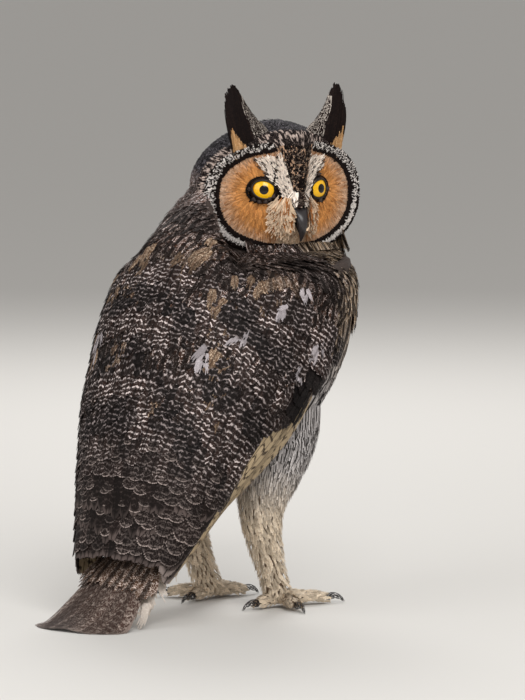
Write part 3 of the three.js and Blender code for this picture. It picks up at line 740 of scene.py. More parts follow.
FLUFF = look((100, 86, 79), (178, 166, 158), mottle=0.6, shaft=0.5, width=0.2)
FLIGHT = look((24, 15, 13), (150, 136, 130), bars=0.3, mottle=0.2, edge=1.0, shaft=0.8, width=0.05)
PRIMARY = look((178, 158, 128), (44, 32, 28), bars=0.9, shaft=0.7, width=0.04)
CARPAL = look((14, 9, 9), (70, 60, 58), mottle=0.2)
RECTRIX = look((66, 50, 44), (156, 142, 132), bars=0.5, mottle=0.5, edge=0.4, shaft=0.7, width=0.03)
TUFT_DARK = look((18, 9, 8), (58, 42, 34), mottle=0.25)
TUFT_INNER = look((30, 18, 15), (222, 210, 198), mottle=0.9, edge=0.6)
TUFT_OUTER = look((170, 128, 84), (218, 184, 144), mottle=0.5)
RUFF_PALE = look((176, 158, 148), (220, 208, 200), mottle=0.2, tip=0.5)
RUFF_DARK = look((18, 11, 11), (130, 114, 108), mottle=0.45)


def form(strips, rows, camber, fray, taper, **more):
    """How a kind of feather is made, for Coat.lay and Coat.vanes."""
    return dict(more, strips=strips, rows=rows, camber=camber, fray=fray, taper=taper)


BODY_FORM = form(9, 5, 0.8, 0.25, 0.45, lift=-0.2)
WHITE_SPOT_FORM = form(11, 5, 0.9, 0.4, 0.75, lift=2.0, rise=3.4, rough=0.03)
WARM_SPOT_FORM = form(11, 5, 0.9, 0.35, 0.6, lift=1.8, rise=3.0, rough=0.04)
BREAST_FORM = form(10, 5, 1.4, 0.32, 0.45, length=20, width=11, lift=-0.6, rise=1.4)
CROWN_FORM = form(6, 4, 0.5, 0.3, 0.4, length=8, width=3.8, lift=0.2, rise=1.5)
RUFF_FORM = form(3, 4, 0.2, 0.25, 0.5, length=3.6, width=1.1, lift=0.3, rise=1.4)
DISC_FORM = form(3, 4, 0.15, 0.2, 0.5, width=1.5, lift=0.1, rise=0.7, rough=0.06)
RIM_FORM = form(2, 4, 0.1, 0.25, 0.5, length=2.2, width=1.0, lift=1.1, rise=1.7)
LASH_FORM = form(2, 3, 0.1, 0.2, 0.5, length=1.7, width=1.1, lift=1.5, rise=1.1)
SHORT_FORM = form(2, 4, 0.1, 0.3, 0.5)
HAIR_FORM = form(2, 5, 0.1, 0.35, 0.5)
PRIMARY_FORM = form(36, 14, 0.9, 0.012, 0.2, width=17, lift=-1.6, root=0.4, rough=0.03, stretch=0.4, cells=16)
TIER_FORM = form(26, 10, 1.2, 0.008, 0.3, lift=-1.0, rough=0.01, cells=16)
COVERT_FORM = form(12, 6, 1.0, 0.04, 0.4, length=19, width=10.5, lift=0.4, rise=2.9)
GREATER_FORM = form(14, 6, 1.1, 0.012, 0.4, length=20, width=13.5, lift=0.2, rise=2.6, rough=0.01)
FLUFF_FORM = form(9, 5, 0.6, 0.6, 0.5, length=9, width=3.6, lift=1.5)
RECTRIX_FORM = form(34, 14, 0.6, 0.02, 0.12, width=15, lift=-0.4, rough=0.05, stretch=0.4, cells=16)
RUMP_FORM = form(12, 6, 1.0, 0.25, 0.4, length=24, width=13, lift=0.4, rise=2.2)
VENT_FORM = form(9, 6, 0.8, 0.5, 0.4, length=12, width=6, lift=3.0)
TUFT_FORM = form(14, 10, 0.3, 0.12, 0.28, lift=0.5, root=0.75)
TUFT_EDGE_FORM = form(6, 8, 0.3, 0.4, 0.6, width=2.4, lift=1.2, rise=1.6, root=0.7)
SHANK_FORM = form(5, 4, 0.5, 0.4, 0.4, lift=-0.4, rise=1.6)
TOE_FORM = form(4, 3, 0.2, 0.35, 0.4, length=4.6, width=2.0, lift=-0.3, rise=0.8)


def patches(random, a, b, size_a, size_b):
    """Soft patches from 0 to 1 over (a, b), each about size_a by size_b."""
    total = 0
    for k in range(4):
        turn = random.uniform(0, 2 * math.pi)
        wave = np.cos(turn) * a / size_a + np.sin(turn) * b / size_b
        total = total + np.sin(2 * math.pi * (wave + random.random()) + 1.5 * np.sin(b / size_b + k))
    return smooth(-1.6, 1.6, total)


def rows_on(random, ground, a_range, b_range, gap_a, gap_b):
    """Roots spread over a patch at about gap_a by gap_b millimetres, whatever the surface's own scale."""
    a, b = [], []
    here = a_range[0]
    line = np.linspace(*b_range, 40)
    while here < a_range[1]:
        _, _, scale_a, scale_b = ground.read(np.full(line.size, here), line)
        step_a, step_b = gap_a / max(scale_a.mean(), 1e-3), gap_b / max(scale_b.mean(), 1e-3)
        count = max(3, int(scale_b.mean() * (b_range[1] - b_range[0]) / gap_b))
        filled = np.concatenate([[0], np.cumsum((scale_b[1:] + scale_b[:-1]) / 2)])
        wanted = (np.arange(count) + 0.5 * (len(a) % 2) + 0.25) / count * filled[-1]
        b.append(np.interp(wanted, filled, line) + random.uniform(-0.3, 0.3, count) * step_b)
        a.append(here + random.uniform(-0.3, 0.3, count) * step_a)
        here += step_a
    return np.concatenate(a), np.concatenate(b)


def wing_ground(hand):
    return Ground(cloak(hand), hand, (-0.1, 1.12), (-75, 115))


# White and buff spots over each wing: share down the back, degrees from its middle, size
WHITE_SPOTS = [(0.49, 68, 0.8), (0.57, 59, 0.9), (0.67, 49, 1.3), (0.78, 36, 1.2), (0.60, 85, 1.1),
               (0.70, 80, 0.9)]
WARM_SPOTS = [(0.78, 44, 1.2), (0.62, 30, 0.9), (0.48, 14, 1.0), (0.86, 52, 1.0), (0.52, 45, 0.8)]
# Rows of the back: limits down it and round it, gap, length, width and rise of the feathers
BACK_ROWS = [
    ((0.02, 0.3), (-62, 242), 3.4, 11, 6, 1.6),
    ((0.05, 0.33), (105, 235), 2.4, 8, 4.5, 1.4),
    ((0.27, 0.95), (-62, 242), 4.6, 17, 9.5, 2.2),
]
BACK_NODES = ["head", "neck", "torso", "wing_left", "wing_right"]


def back_looks(random, a, b, front):
    """Marbled dark brown, paler on the nape and warmer down the middle; front is the breast's share."""
    shade = patches(random, a, b, 0.16, 36)
    looks = blend_looks(smooth(0.2, 0.36, a), blend_looks(shade * 0.8, NAPE, NAPE_DARK),
                        blend_looks(shade, MANTLE, MANTLE_DARK))
    middle = smooth(85, 55, np.abs(b - 90)) * smooth(0.38, 0.48, a)
    warm = smooth(0.45, 0.85, patches(random, a, b, 0.2, 50)) * middle
    looks = blend_looks(0.75 * warm * (random.random(a.size) > 0.45), looks, WARM)
    return blend_looks(front, looks, BREAST)


def back_spots(coat, back, hand):
    """The row of white spots over a wing, and the warm ones among them."""
    normal = coat.random.normal
    for share, aside, size in WHITE_SPOTS:
        a, b = share + normal(0, 0.012, 4), 90 + hand * (aside + normal(0, 1.6, 4))
        coat.lay(back, a, b, SPOT, 10 * size, 4.5 * size, turn=normal(0, 24, 4), **WHITE_SPOT_FORM)
    for share, aside, size in WARM_SPOTS:
        a, b = share + normal(0, 0.018, 6), 90 + hand * (aside + normal(0, 3.0, 6))
        coat.lay(back, a, b, WARM, 13 * size, 7 * size, turn=normal(0, 14, 6), **WARM_SPOT_FORM)


def coat_back(material):
    """Nape, neck and mantle, cut clear of the face."""
    coat = Coat(11)
    back = Ground(outside(BACK_NODES, NECK_SPINE), 1, (-0.1, 1), (-100, 280), cuts=170)
    for a_range, b_range, gap, length, width, rise in BACK_ROWS:
        a, b = rows_on(coat.random, back, a_range, b_range, gap, gap)
        aside = np.abs(b - 90)
        front = smooth(86, 106, aside)
        low = 0.94 - 0.26 * smooth(35, 85, aside)
        keep = (a < low) & (front * a < 0.42) & behind_face(back.read(a, b)[0])
        a, b, front = a[keep], b[keep], front[keep]
        looks = back_looks(coat.random, a, b, front)
        coat.lay(back, a, b, looks, length, width, turn=coat.random.normal(0, 12, a.size),
                 rise=rise + coat.random.normal(0, 0.4, a.size), **BODY_FORM)
    for hand in SIDES:
        back_spots(coat, back, hand)
    coat.build("coat_back", material, "mottled", press=clear_face)


def coat_breast(material):
    """Breast, belly and flanks: buff to white with dark streaks."""
    coat = Coat(12)
    under = Ground(torso, 1, (-0.1, 1.05), (-260, 80))
    a, b = rows_on(coat.random, under, (-0.02, 0.93), (-198, 18), 5.5, 6.0)
    keep = (a > 0.38) | (b > -125)
    a, b = a[keep], b[keep]
    looks = blend_looks(smooth(0.3, 0.55, a), BREAST, BELLY)
    looks = blend_looks(smooth(0.75, 0.85, a), looks, DOWN)
    coat.lay(under, a, b, looks, turn=coat.random.normal(0, 8, a.size), **BREAST_FORM)
    coat.build("coat_breast", material, "pale")


# The ruff's rows on the crown: where each begins, the gap between its feathers and the share of pale ones
RUFF_ROWS = [(0.1, 1.0, 0.22), (0.075, 0.9, 0.28), (0.05, 0.9, 0.34), (0.025, 0.8, 0.34), (0.0, 0.8, 0.25)]


def coat_crown(material):
    """The head's top, sides and nape, and the stiff ruff round the face."""
    coat = Coat(13)
    cap = Ground(crown, 1, (-0.06, 1.02), (-20, 380))
    a, b = rows_on(coat.random, cap, (0.1, 0.97), (0, 360), 2.3, 2.4)
    upward = cap.read(a, b)[1][:, 2]
    looks = blend_looks(smooth(-0.1, 0.5, upward), NAPE, CROWN)
    coat.lay(cap, a, b, looks, turn=coat.random.normal(0, 8, a.size), **CROWN_FORM)
    for start, gap, pale_share in RUFF_ROWS:
        a, b = rows_on(coat.random, cap, (start, start + 0.012), (0, 360), 1.6, gap)
        looks = blend_looks(coat.random.random(a.size) < pale_share, RUFF_DARK, RUFF_PALE)
        coat.lay(cap, a, b, looks, turn=coat.random.normal(0, 10, a.size), **RUFF_FORM)
    coat.build("coat_crown", material, "mottled")


def face_share(x, z):
    """How far out on the face a place is: 1 at the rim."""
    tall = np.where(z > FACE_UP, FACE_ABOVE, FACE_BELOW)
    power = 2 / FACE_BLUNT
    return ((np.abs(x) / FACE_SIDE) ** power + (np.abs(z - FACE_UP) / tall) ** power) ** (1 / power)


def face_looks(x, z):
    """Tawny discs with a pale fringe and a black line inside the rim, and black from each eye to the bill."""
    share = face_share(x, z)
    side = np.abs(x)
    looks = blend_looks(smooth(0.58, 0.84, share), TAWNY, FRINGE)
    looks = blend_looks(smooth(0.88, 0.93, share), looks, RIM_BLACK)
    looks = blend_looks(smooth(12, 8, side) * smooth(-10, -16, z), looks, BRISTLE)
    looks = blend_looks(smooth(10, 7, side - 0.1 * z) * smooth(-9, -6, z), looks, FOREHEAD)
    return blend_looks(face_black(x, z), looks, EYE_BLACK)


def face_black(x, z):
    """The black that runs from over the eye down its inner side to the bill."""
    side = np.abs(x)
    patch = np.hypot((side - 10.4 - 0.08 * (z + 1)) / 4.2, (z - 0.5) / 12)
    return smooth(1.1, 0.8, patch)


# Lines of the face's edge: share of the face, then the shares of white feathers above and below the eyes
RIM_ROWS = [(0.915, 0.0, 0.0), (0.935, 0.0, 0.0), (0.955, 0.3, 0.3), (0.975, 0.4, 1.0), (0.995, 0.4, 1.0),
            (1.015, 0.4, 0.9), (1.035, 0.35, 0.1), (1.06, 0.3, 0.0)]


def rim_lines(coat, flat, hand):
    """The face's edge: a black line, then flecks above, and below a white line with a black band outside."""
    for share, upper, lower in RIM_ROWS:
        turn = np.arange(-97, 78, 0.65)
        turn = turn + coat.random.normal(0, 0.3, turn.size)
        x, _, z = face_sizes(share + coat.random.normal(0, 0.005, turn.size), turn)
        low = smooth(-2, -12, z)
        white = coat.random.random(turn.size) < upper * (1 - low) + lower * low
        way = np.degrees(np.arctan2(z - FACE_UP, x * 0.8)) + coat.random.normal(0, 9, turn.size)
        way = np.where(hand > 0, way, 180 - way)
        coat.lay(flat, hand * x, z, blend_looks(white, RIM_BLACK, RIM_WHITE), turn=-way, **RIM_FORM)


def disc(coat, flat, hand):
    """Fine feathers in rings that spread from the eye to the rim."""
    for radius in np.arange(7.4, 52, 1.2):
        count = int(2 * math.pi * radius)
        way = (np.arange(count) + coat.random.random(count)) / count * 360
        far = radius + coat.random.uniform(-0.6, 0.6, count)
        x = hand * EYE_SIDE + far * np.cos(way * RAD)
        z = EYE_UP + far * np.sin(way * RAD)
        keep = (face_share(x, z) < 0.96) & (hand * x > 0.2)
        x, z, way = x[keep], z[keep], way[keep]
        share, black = face_share(x, z), face_black(x, z)
        length = np.clip((0.97 - share) * 42, 2.0, 4.4 + 0.1 * radius)
        length = np.where(black > 0.5, np.minimum(length, 3.4), length)
        darker = (coat.random.random(x.size) > 0.8) * 0.6 * (share < 0.86) * (black < 0.5)
        looks = blend_looks(darker, face_looks(x, z), DISC_DARK)
        coat.lay(flat, x, z, looks, length, turn=-way, **DISC_FORM)


def plumes(coat, flat, hand, count=900):
    """The white plumes that rise beside the bill and over the brow."""
    random = coat.random
    share, out = random.random(count), random.random(count)
    x = hand * (2.2 + 5.2 * share**1.3 + (1.8 + 10.5 * share**1.5) * out)
    z = -9 + 23 * share + random.normal(0, 1.0, count)
    way = 90 - hand * (8 + 40 * out) + random.normal(0, 5, count)
    looks = blend_looks((random.random(count) > 0.8) | (out > 0.95), PLUME_WHITE, FOREHEAD)
    coat.lay(flat, x, z, looks, length=6.8, width=0.95, turn=-way, lift=0.5,
             rise=1.6 + 2.2 * random.random(count), **HAIR_FORM)


def bristles(coat, flat, hand, count=700):
    """The whiskers below the eye and beside the bill."""
    random = coat.random
    share, out = random.random(count), random.random(count)
    x = hand * (2.6 + 7.5 * out)
    z = -6 - 14 * share + random.normal(0, 1.0, count)
    way = -90 + hand * (6 + 46 * out) + random.normal(0, 7, count)
    looks = blend_looks(random.random(count) > 0.85, BRISTLE, DISC_DARK)
    near = 1 - out
    coat.lay(flat, x, z, looks, length=9, width=0.9, turn=-way, lift=1 + 4.5 * near * (1 - share),
             rise=3.5 + 5 * near, **HAIR_FORM)


def eye_lashes(coat, flat, hand, count=230):
    """The black ring round the eye and the black line down its inner side."""
    way = np.arange(0, 360, 4.0)
    x, z = hand * EYE_SIDE + 7.2 * np.cos(way * RAD), EYE_UP + 6.5 * np.sin(way * RAD)
    coat.lay(flat, x, z, EYE_BLACK, turn=-way, **LASH_FORM)
    share = coat.random.random(count)
    x = hand * (9.2 + 1.6 * coat.random.random(count) + 2.4 * (2 * share - 1) ** 2)
    way = 90 - hand * 24 * (share - 0.3)
    coat.lay(flat, x, -9 + 22 * share, EYE_BLACK, length=3.6, width=1.1, turn=-way, lift=1.5, rise=2.3,
             **SHORT_FORM)


def bill_bristles(coat, flat, hand, count=640):
    """The long bristles that lie over the bill's side."""
    random = coat.random
    share = random.random(count)
    x = hand * (2.9 + 2.8 * random.random(count))
    way = -90 - hand * (2 + 14 * random.random(count)) + random.normal(0, 7, count)
    looks = blend_looks(random.random(count) > 0.75, BRISTLE, DISC_DARK)
    coat.lay(flat, x, -5 - 11 * share, looks, length=9, width=0.75, turn=-way, lift=4 + 2 * share,
             rise=7.5 + 3.5 * random.random(count), **HAIR_FORM)


def forehead(coat, flat, count=700):
    """The dark, flecked wedge that widens from the bill up to the crown."""
    share = coat.random.random(count)
    x = coat.random.uniform(-1, 1, count) * (1.4 + 7.5 * share)
    kind = coat.random.random(count)
    looks = blend_looks(kind > 0.86, blend_looks(kind < 0.5, FOREHEAD, EYE_BLACK), FRINGE)
    way = 90 - 2.0 * x
    coat.lay(flat, x, -4 + 26 * share, looks, length=4.0, width=1.2, turn=-way, lift=1.2, rise=2.4,
             **SHORT_FORM)


def bill_root(coat, flat, count=200):
    """The short plumes over the bill's root."""
    random = coat.random
    x = random.uniform(-3.6, 3.6, count)
    looks = blend_looks((np.abs(x) < 0.9) | (random.random(count) > 0.8), PLUME_WHITE, FOREHEAD)
    z = -1 - 5 * random.random(count)
    turn = 90 - 5.0 * x + random.normal(0, 14, count)
    coat.lay(flat, x, z, looks, length=5.5, width=0.7, turn=turn, lift=1.6, rise=3 + 2 * random.random(count),
             **HAIR_FORM)


def coat_face(material):
    """The face, from the discs to the hair-like feathers that lie over them."""
    coat = Coat(14)
    flat = Ground(face_plane, 1, (-60, 60), (-50, 40), cuts=300)
    for hand in SIDES:
        for layer in (disc, plumes, bristles, rim_lines, eye_lashes, bill_bristles):
            layer(coat, flat, hand)
    forehead(coat, flat)
    bill_root(coat, flat)
    coat.build("coat_face", material, "face")


# Long feathers of the wing: how many, first and last root, first and last tip, width
WING_TIERS = [
    (11, (0.66, 8), (0.66, 90), (0.97, 10), (0.98, 88), 17),
    (12, (0.58, 6), (0.60, 90), (0.885, 3), (0.93, 93), 15),
    (13, (0.54, 6), (0.56, 90), (0.835, 3), (0.89, 94), 13),
]
PRIMARY_TIPS = [(0.86, -27), (0.92, -25), (0.97, -20), (1.0, -12), (1.01, 2), (0.99, 14)]
BUFF_PRIMARIES = 4
# The wing's outer edge, where the coverts end: shares down the wing, degrees
COVERT_EDGE = [0.27, 0.4, 0.6, 0.72, 0.85], [-18, -12, -9, -20, -30]


def long_feathers(coat, ground):
    """The outer flight feathers, then three tiers of inner ones that shut over each other."""
    for k, (share, angle) in enumerate(PRIMARY_TIPS):
        style = PRIMARY if k < BUFF_PRIMARIES else FLIGHT
        coat.vanes(ground, [0.46], [-11 + 4 * k], [share], [angle], style, rise=0.4 * k - 1.2,
                   **PRIMARY_FORM)
    for tier, (count, first, last, first_tip, last_tip, width) in enumerate(WING_TIERS):
        t = np.linspace(0, 1, count) + coat.random.normal(0, 0.1, count) / count
        roots = [first[i] + (last[i] - first[i]) * t for i in (0, 1)]
        tips = [first_tip[i] + (last_tip[i] - first_tip[i]) * t for i in (0, 1)]
        tips[0] = tips[0] + coat.random.normal(0, 0.006, count)
        coat.vanes(ground, *roots, *tips, FLIGHT_LONG, width, rise=0.8 + 0.5 * tier + t, **TIER_FORM)


def coverts(coat, ground):
    """Rows of coverts up to the mantle, with a black patch at the wing's bend."""
    a, b = rows_on(coat.random, ground, (0.3, 0.735), (-22, 92), 6.5, 7.0)
    edge = np.interp(a, *COVERT_EDGE)
    keep = b > edge + 3 + 12 * smooth(0.5, 0.58, a)
    a, b, edge = a[keep], b[keep], edge[keep]
    black = smooth(20, 12, b - edge) * smooth(0.36, 0.4, a) * smooth(0.54, 0.48, a)
    looks = blend_looks(patches(coat.random, a, b, 0.14, 30), COVERT, COVERT_DARK)
    looks = blend_looks(black, looks, CARPAL)
    looks = blend_looks(smooth(0.66, 0.74, a) * 0.7, looks, FLIGHT)
    coat.lay(ground, a, b, looks, turn=coat.random.normal(0, 3.5, a.size), **COVERT_FORM)


def edge_down(coat, ground, count=120):
    """Loose down that stands out along the wing's edge."""
    random = coat.random
    coat.lay(ground, random.uniform(0.44, 0.74, count), random.uniform(-14, -2, count), FLUFF,
             turn=random.uniform(0, 40, count), rise=random.uniform(3, 6, count), **FLUFF_FORM)


def wing(hand, material):
    """One folded wing: the long outer feathers lowest, then row on row of coverts up to the mantle."""
    coat = Coat(20 + hand)
    ground = wing_ground(hand)
    long_feathers(coat, ground)
    coverts(coat, ground)
    if hand > 0:
        edge_down(coat, ground)
    a, b = rows_on(coat.random, ground, (0.68, 0.9), (-24, 92), 8.0, 9.5)
    keep = (b > 2) & (b < 92 - 30 * np.maximum(0, a - 0.8))
    a, b = a[keep], b[keep]
    coat.lay(ground, a, b, FLIGHT, turn=coat.random.normal(0, 2.5, a.size), **GREATER_FORM)
    coat.build("wing_coat_" + SIDES[hand], material, "wing", ["wing_" + SIDES[hand]])


def tail_coat(material):
    """Twelve long feathers, the middle ones on top, coverts over their bases and fluffy white ones under."""
    coat = Coat(31)
    over = Ground(tail, -1, (-0.1, 1.1), (-1.3, 1.3))
    for k, across in enumerate(sorted(np.linspace(-0.8, 0.8, 12), key=abs, reverse=True)):
        end = 1.0 - 0.16 * abs(across) ** 2.5
        coat.vanes(over, [0.3], [across * 0.6], [end], [across], RECTRIX, rise=0.2 + 0.12 * k,
                   **RECTRIX_FORM)
    a, b = rows_on(coat.random, over, (0.02, 0.5), (-0.95, 0.95), 8, 8)
    coat.lay(over, a, b, blend_looks(np.full(a.size, 0.4), MANTLE, WARM), **RUMP_FORM)
    under = Ground(tail, 1, (-0.1, 1.1), (-1.3, 1.3))
    a, b = rows_on(coat.random, under, (0.02, 0.66), (-1.12, 1.12), 5, 5)
    coat.lay(under, a, b, VENT, turn=coat.random.normal(0, 25, a.size),
             rise=7.5 + coat.random.normal(0, 1.5, a.size), **VENT_FORM)
    coat.build("tail_feathers", material, "tail", ["tail"])


TUFT_FOOT, TUFT_TIP = (22, 20, 25), (32.5, 15, 60)


def tuft_surface(hand):
    """The sheet of an ear tuft; a runs up it and b across, the outer edge positive."""
    def surface(a, b):
        x0, f0, z0 = TUFT_FOOT
        x1, f1, z1 = TUFT_TIP
        level = np.clip(b, -0.6, 0.6)
        inner = np.minimum(0, b)
        foot = [x0 + 15 * b + 8 * inner, f0 - 3 * np.abs(b), z0 - 3 - 9 * np.maximum(0, level)]
        mid = [(x0 + x1) / 2 + 14 * b + 4 * inner + 0.5, (f0 + f1) / 2 + 2.5 + 0 * b, (z0 + z1) / 2 + 0 * b]
        tip = [x1 + 8 * b, f1 - 2 * b, z1 - 30 * (level - 0.1) ** 2 - 8 * np.maximum(0, -level)]
        x, f, z = ((1 - a) ** 2 * p + 2 * a * (1 - a) * q + a**2 * r for p, q, r in zip(foot, mid, tip))
        return on_head(hand * x, f, z)
    return surface


def tuft(hand, material):
    """An ear tuft: blackish long feathers, flecked white inside and edged buff outside."""
    coat = Coat(41 + hand)
    for out in (-hand, hand):
        sheet = Ground(tuft_surface(hand), out, (-0.2, 1.1), (-1.2, 1.2))
        for b in np.linspace(-0.55, 0.55, 13):
            style, over = (TUFT_INNER, 1.4) if b < -0.2 else (TUFT_DARK, coat.random.random())
            width = 9.5 if b > -0.3 else 5.5
            coat.vanes(sheet, [-0.05], [b], [1.02], [b], style, width, rise=0.6 + over, **TUFT_FORM)
        for b in np.linspace(0.24, 0.7, 12):
            end = 0.13 + 0.7 * (b - 0.24)
            coat.vanes(sheet, [0.0], [b], [end], [b + 0.02], TUFT_OUTER, **TUFT_EDGE_FORM)
    coat.build("tuft_" + SIDES[hand], material, "tuft", ["ear_tuft_" + SIDES[hand]])


def coat_legs(material):
    """Thighs, shanks and toes in short buff-white down."""
    coat = Coat(51)
    for hand in SIDES:
        shank = Ground(leg(hand), -hand, (-0.05, 1.05), (-90, 450))
        a, b = rows_on(coat.random, shank, (0.0, 1.0), (0, 360), 3, 2.5)
        looks = blend_looks(smooth(0.55, 0.15, a), DOWN, BELLY)
        turn = coat.random.normal(0, 9, a.size)
        coat.lay(shank, a, b, looks, length=11 - 6 * a, width=3.6 - 1.6 * a, turn=turn, **SHANK_FORM)
        for turn, length in TOES:
            finger = Ground(toe(hand, turn, length), 1, (-0.2, 1.1), (-90, 450))
            a, b = rows_on(coat.random, finger, (-0.1, 0.9), (-20, 200), 1.9, 1.9)
            coat.lay(finger, a, b, DOWN, turn=coat.random.normal(0, 12, a.size), **TOE_FORM)
    coat.build("coat_legs", material, "pale")


# Bare parts

# The edge of the shell under a wing's feathers: shares down the wing, degrees
BASE_EDGE = [0, 0.27, 0.4, 0.6, 0.72, 0.85, 0.97], [-20, -12, -8, -5, -12, -20, -16]
BASE_OUT, BASE_IN = 2.2, 4.0  # how deep its two faces lie


def wing_base(hand, material):
    """The shell under one wing's feathers, so that no light shows between them."""
    ground = wing_ground(hand)
    rings = []
    for share in np.linspace(0.36, 0.95, 30):
        angle = np.linspace(np.interp(share, *BASE_EDGE), 88 if share < 0.88 else 82, 24)
        place, normal, _, _ = ground.read(np.full(angle.size, share), angle)
        rings.append(np.concatenate([place - normal * BASE_OUT, (place - normal * BASE_IN)[::-1]]))
    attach(mesh_object("wing_base_" + SIDES[hand], *tube(rings), material), "root")


# The skin, in metres: how fine it is and how deep under the solids; then how it is evened out
VOXEL, SKIN_DEPTH = 0.0016, 0.0018
EVEN_ROUNDS, EVEN_SHARE = 6, 0.6


def read_vectors(mesh, what):
    values = np.empty(len(mesh.vertices) * 3)
    mesh.vertices.foreach_get(what, values)
    return values.reshape(-1, 3)


def move_points(mesh, points):
    mesh.vertices.foreach_set("co", points.ravel())
    mesh.update()


def evened(mesh):
    """The points of a mesh, each moved towards the middle of its neighbours a few times over."""
    points = read_vectors(mesh, "co")
    count = len(points)
    edges = np.empty(len(mesh.edges) * 2, dtype=np.int64)
    mesh.edges.foreach_get("vertices", edges)
    first, second = edges.reshape(-1, 2).T
    near = np.maximum(np.bincount(first, minlength=count) + np.bincount(second, minlength=count), 1)[:, None]
    for _ in range(EVEN_ROUNDS):
        total = np.stack([np.bincount(first, line[second], count) + np.bincount(second, line[first], count)
                          for line in points.T], axis=-1)
        points = (1 - EVEN_SHARE) * points + EVEN_SHARE * total / near
    return points


def flesh_skin(material, names):
    """One skin from the nodes of flesh, inside them by the coat's depth."""
    points, faces = joined(names)
    mesh = bpy.data.meshes.new("skin")
    mesh.from_pydata([list(p) for p in points], [], faces)
    mesh.update()
    skin = new_object("skin", mesh)
    remesh = skin.modifiers.new("one skin", "REMESH")
    remesh.mode = "VOXEL"
    remesh.voxel_size = VOXEL
    graph = bpy.context.evaluated_depsgraph_get()
    whole = bpy.data.meshes.new_from_object(skin.evaluated_get(graph))
    skin.modifiers.clear()
    skin.data = whole
    points = evened(whole)
    move_points(whole, points)
    move_points(whole, points - read_vectors(whole, "normal") * SKIN_DEPTH)
    whole.materials.clear()
    whole.materials.append(material)
    whole.shade_smooth()
    dress(skin, "pale", *names)
    print("skin", len(whole.polygons) * 2, "triangles")


# Rows of each half of the bill: front, up, half width
BILL_TOP = [[26, -5, 4.8], [32, -7, 5.2], [36.5, -12, 4.6], [39.2, -18.5, 3.5], [39.4, -25, 2.2],
            [37.4, -30.5, 0.5]]
BILL_LOW = [[24, -13, 4.2], [29, -16, 4.1], [33, -19, 3.2], [35.2, -22.5, 1.9], [35.4, -25.5, 0.6]]
BILL_TALL, BILL_RIDGE = 0.85, 0.12


def bill(name, rows, material):
    """One half of the bill, in rings round a bent line."""
    line = row_at(rows, np.linspace(0, 1, 28))
    run = np.gradient(line[:, :2], axis=0)
    run /= np.linalg.norm(run, axis=1, keepdims=True)
    turn = full_turn(28)
    rings = []
    for (front, up, half), (run_f, run_u) in zip(line, run):
        across = np.cos(turn) * half * (1 - BILL_RIDGE * np.sin(turn) ** 2)
        high = np.sin(turn) * half * BILL_TALL
        rings.append(on_head(across, front + run_u * high, up + run_f * high))
    dress(mesh_object(name, *tube(rings), material), "bill", name)


def eye_frame(hand):
    """The eye's middle and its forward, side and up ways."""
    centre, way = eye_centre(hand)
    forward = head_way(*way)
    over = np.cross([0, 0, 1], forward)
    over /= np.linalg.norm(over)
    return centre, forward, over, np.cross(forward, over)


# Radii of the eye's colours in metres: where the pupil ends, the yellow darkens and the black edge begins
PUPIL, YELLOW, IRIS = (0.0028, 0.0026), (0.0054, 0.0066), (0.0066, 0.0069)


def iris_finish(hand):
    """A yellow iris with fine spokes between a black pupil and a black edge, under a clear coat."""
    g = Graph("iris " + SIDES[hand], 0.2, Specular_IOR_Level=0.15, Coat_Weight=0.6, Coat_Roughness=0.02)
    centre, forward, _, _ = eye_frame(hand)
    arm = g.vector("SUBTRACT", {0: g.here(), 1: tuple((centre + SHIFT) * MM)})
    round_ = g.vector("CROSS_PRODUCT", {0: arm, 1: tuple(forward)})
    far = g.vector("LENGTH", {0: round_}, "Value")
    spokes = g.noise(g.vector("NORMALIZE", {0: round_}), scale=14.0)
    yellow = g.mix(spokes, paint(246, 160, 6), paint(255, 214, 30))
    yellow = g.mix(g.ramp(far, *YELLOW), yellow, paint(190, 96, 4))
    black = g.math("MAXIMUM", g.ramp(far, *IRIS), g.ramp(far, *PUPIL))
    return g.colour(g.mix(black, yellow, paint(6, 4, 4)))


# The lids' opening: half sizes and slant; then the lids' ring: how far past the opening, and the radius there
LID_WIDE, LID_TALL, LID_SLANT = 6.7, 5.0, 14 * RAD
LID_RING = [(-0.25, 9.2), (-0.2, 9.9), (0.1, 10.4), (0.6, 10.5), (1.3, 10.2), (2.2, 9.7), (2.2, 8.9)]


def eye(hand, lid_material):
    """The ball of an eye and the ring of its lids."""
    centre, forward, over, up = eye_frame(hand)
    side = SIDES[hand]
    turn = full_turn(64)[:, None]
    disc = np.cos(turn) * over + np.sin(turn) * up
    rings = [centre + disc * EYE_RADIUS * math.sin(t) + forward * EYE_RADIUS * math.cos(t)
             for t in np.linspace(0.01, math.pi - 0.01, 40)]
    ball = mesh_object("eye_ball_" + side, *tube(rings), iris_finish(hand))
    dress(ball, "eye", "eye_" + side)
    wide, tall = np.cos(turn) * LID_WIDE, np.sin(turn) * LID_TALL
    c, s = math.cos(LID_SLANT), hand * math.sin(LID_SLANT)
    first, second = wide * c - tall * s, wide * s + tall * c
    opening = np.hypot(first, second)
    flat = (first * over + second * up) / opening
    rings = []
    for more, radius in LID_RING + LID_RING[:1]:
        out = opening + more
        rings.append(centre + flat * out + forward * np.sqrt(radius**2 - np.minimum(out, 9.0) ** 2))
    dress(mesh_object("lid_" + side, *tube(rings, closed_ends=False), lid_material), "face")


def nostril(hand, material):
    """A nostril: a small flat bead set in the side of the bill, coloured black as painted shade where a real
    hollow would be dark.
    """
    turn = full_turn(20)
    rings = [on_head(hand * (3.7 + 0.5 * math.cos(t)), 35.8 + 1.3 * math.sin(t) * np.cos(turn),
                     -12.5 + 0.8 * math.sin(t) * np.sin(turn)) for t in np.linspace(0.05, math.pi - 0.05, 10)]
    dress(mesh_object("nostril_" + SIDES[hand], *tube(rings), material), "bill")


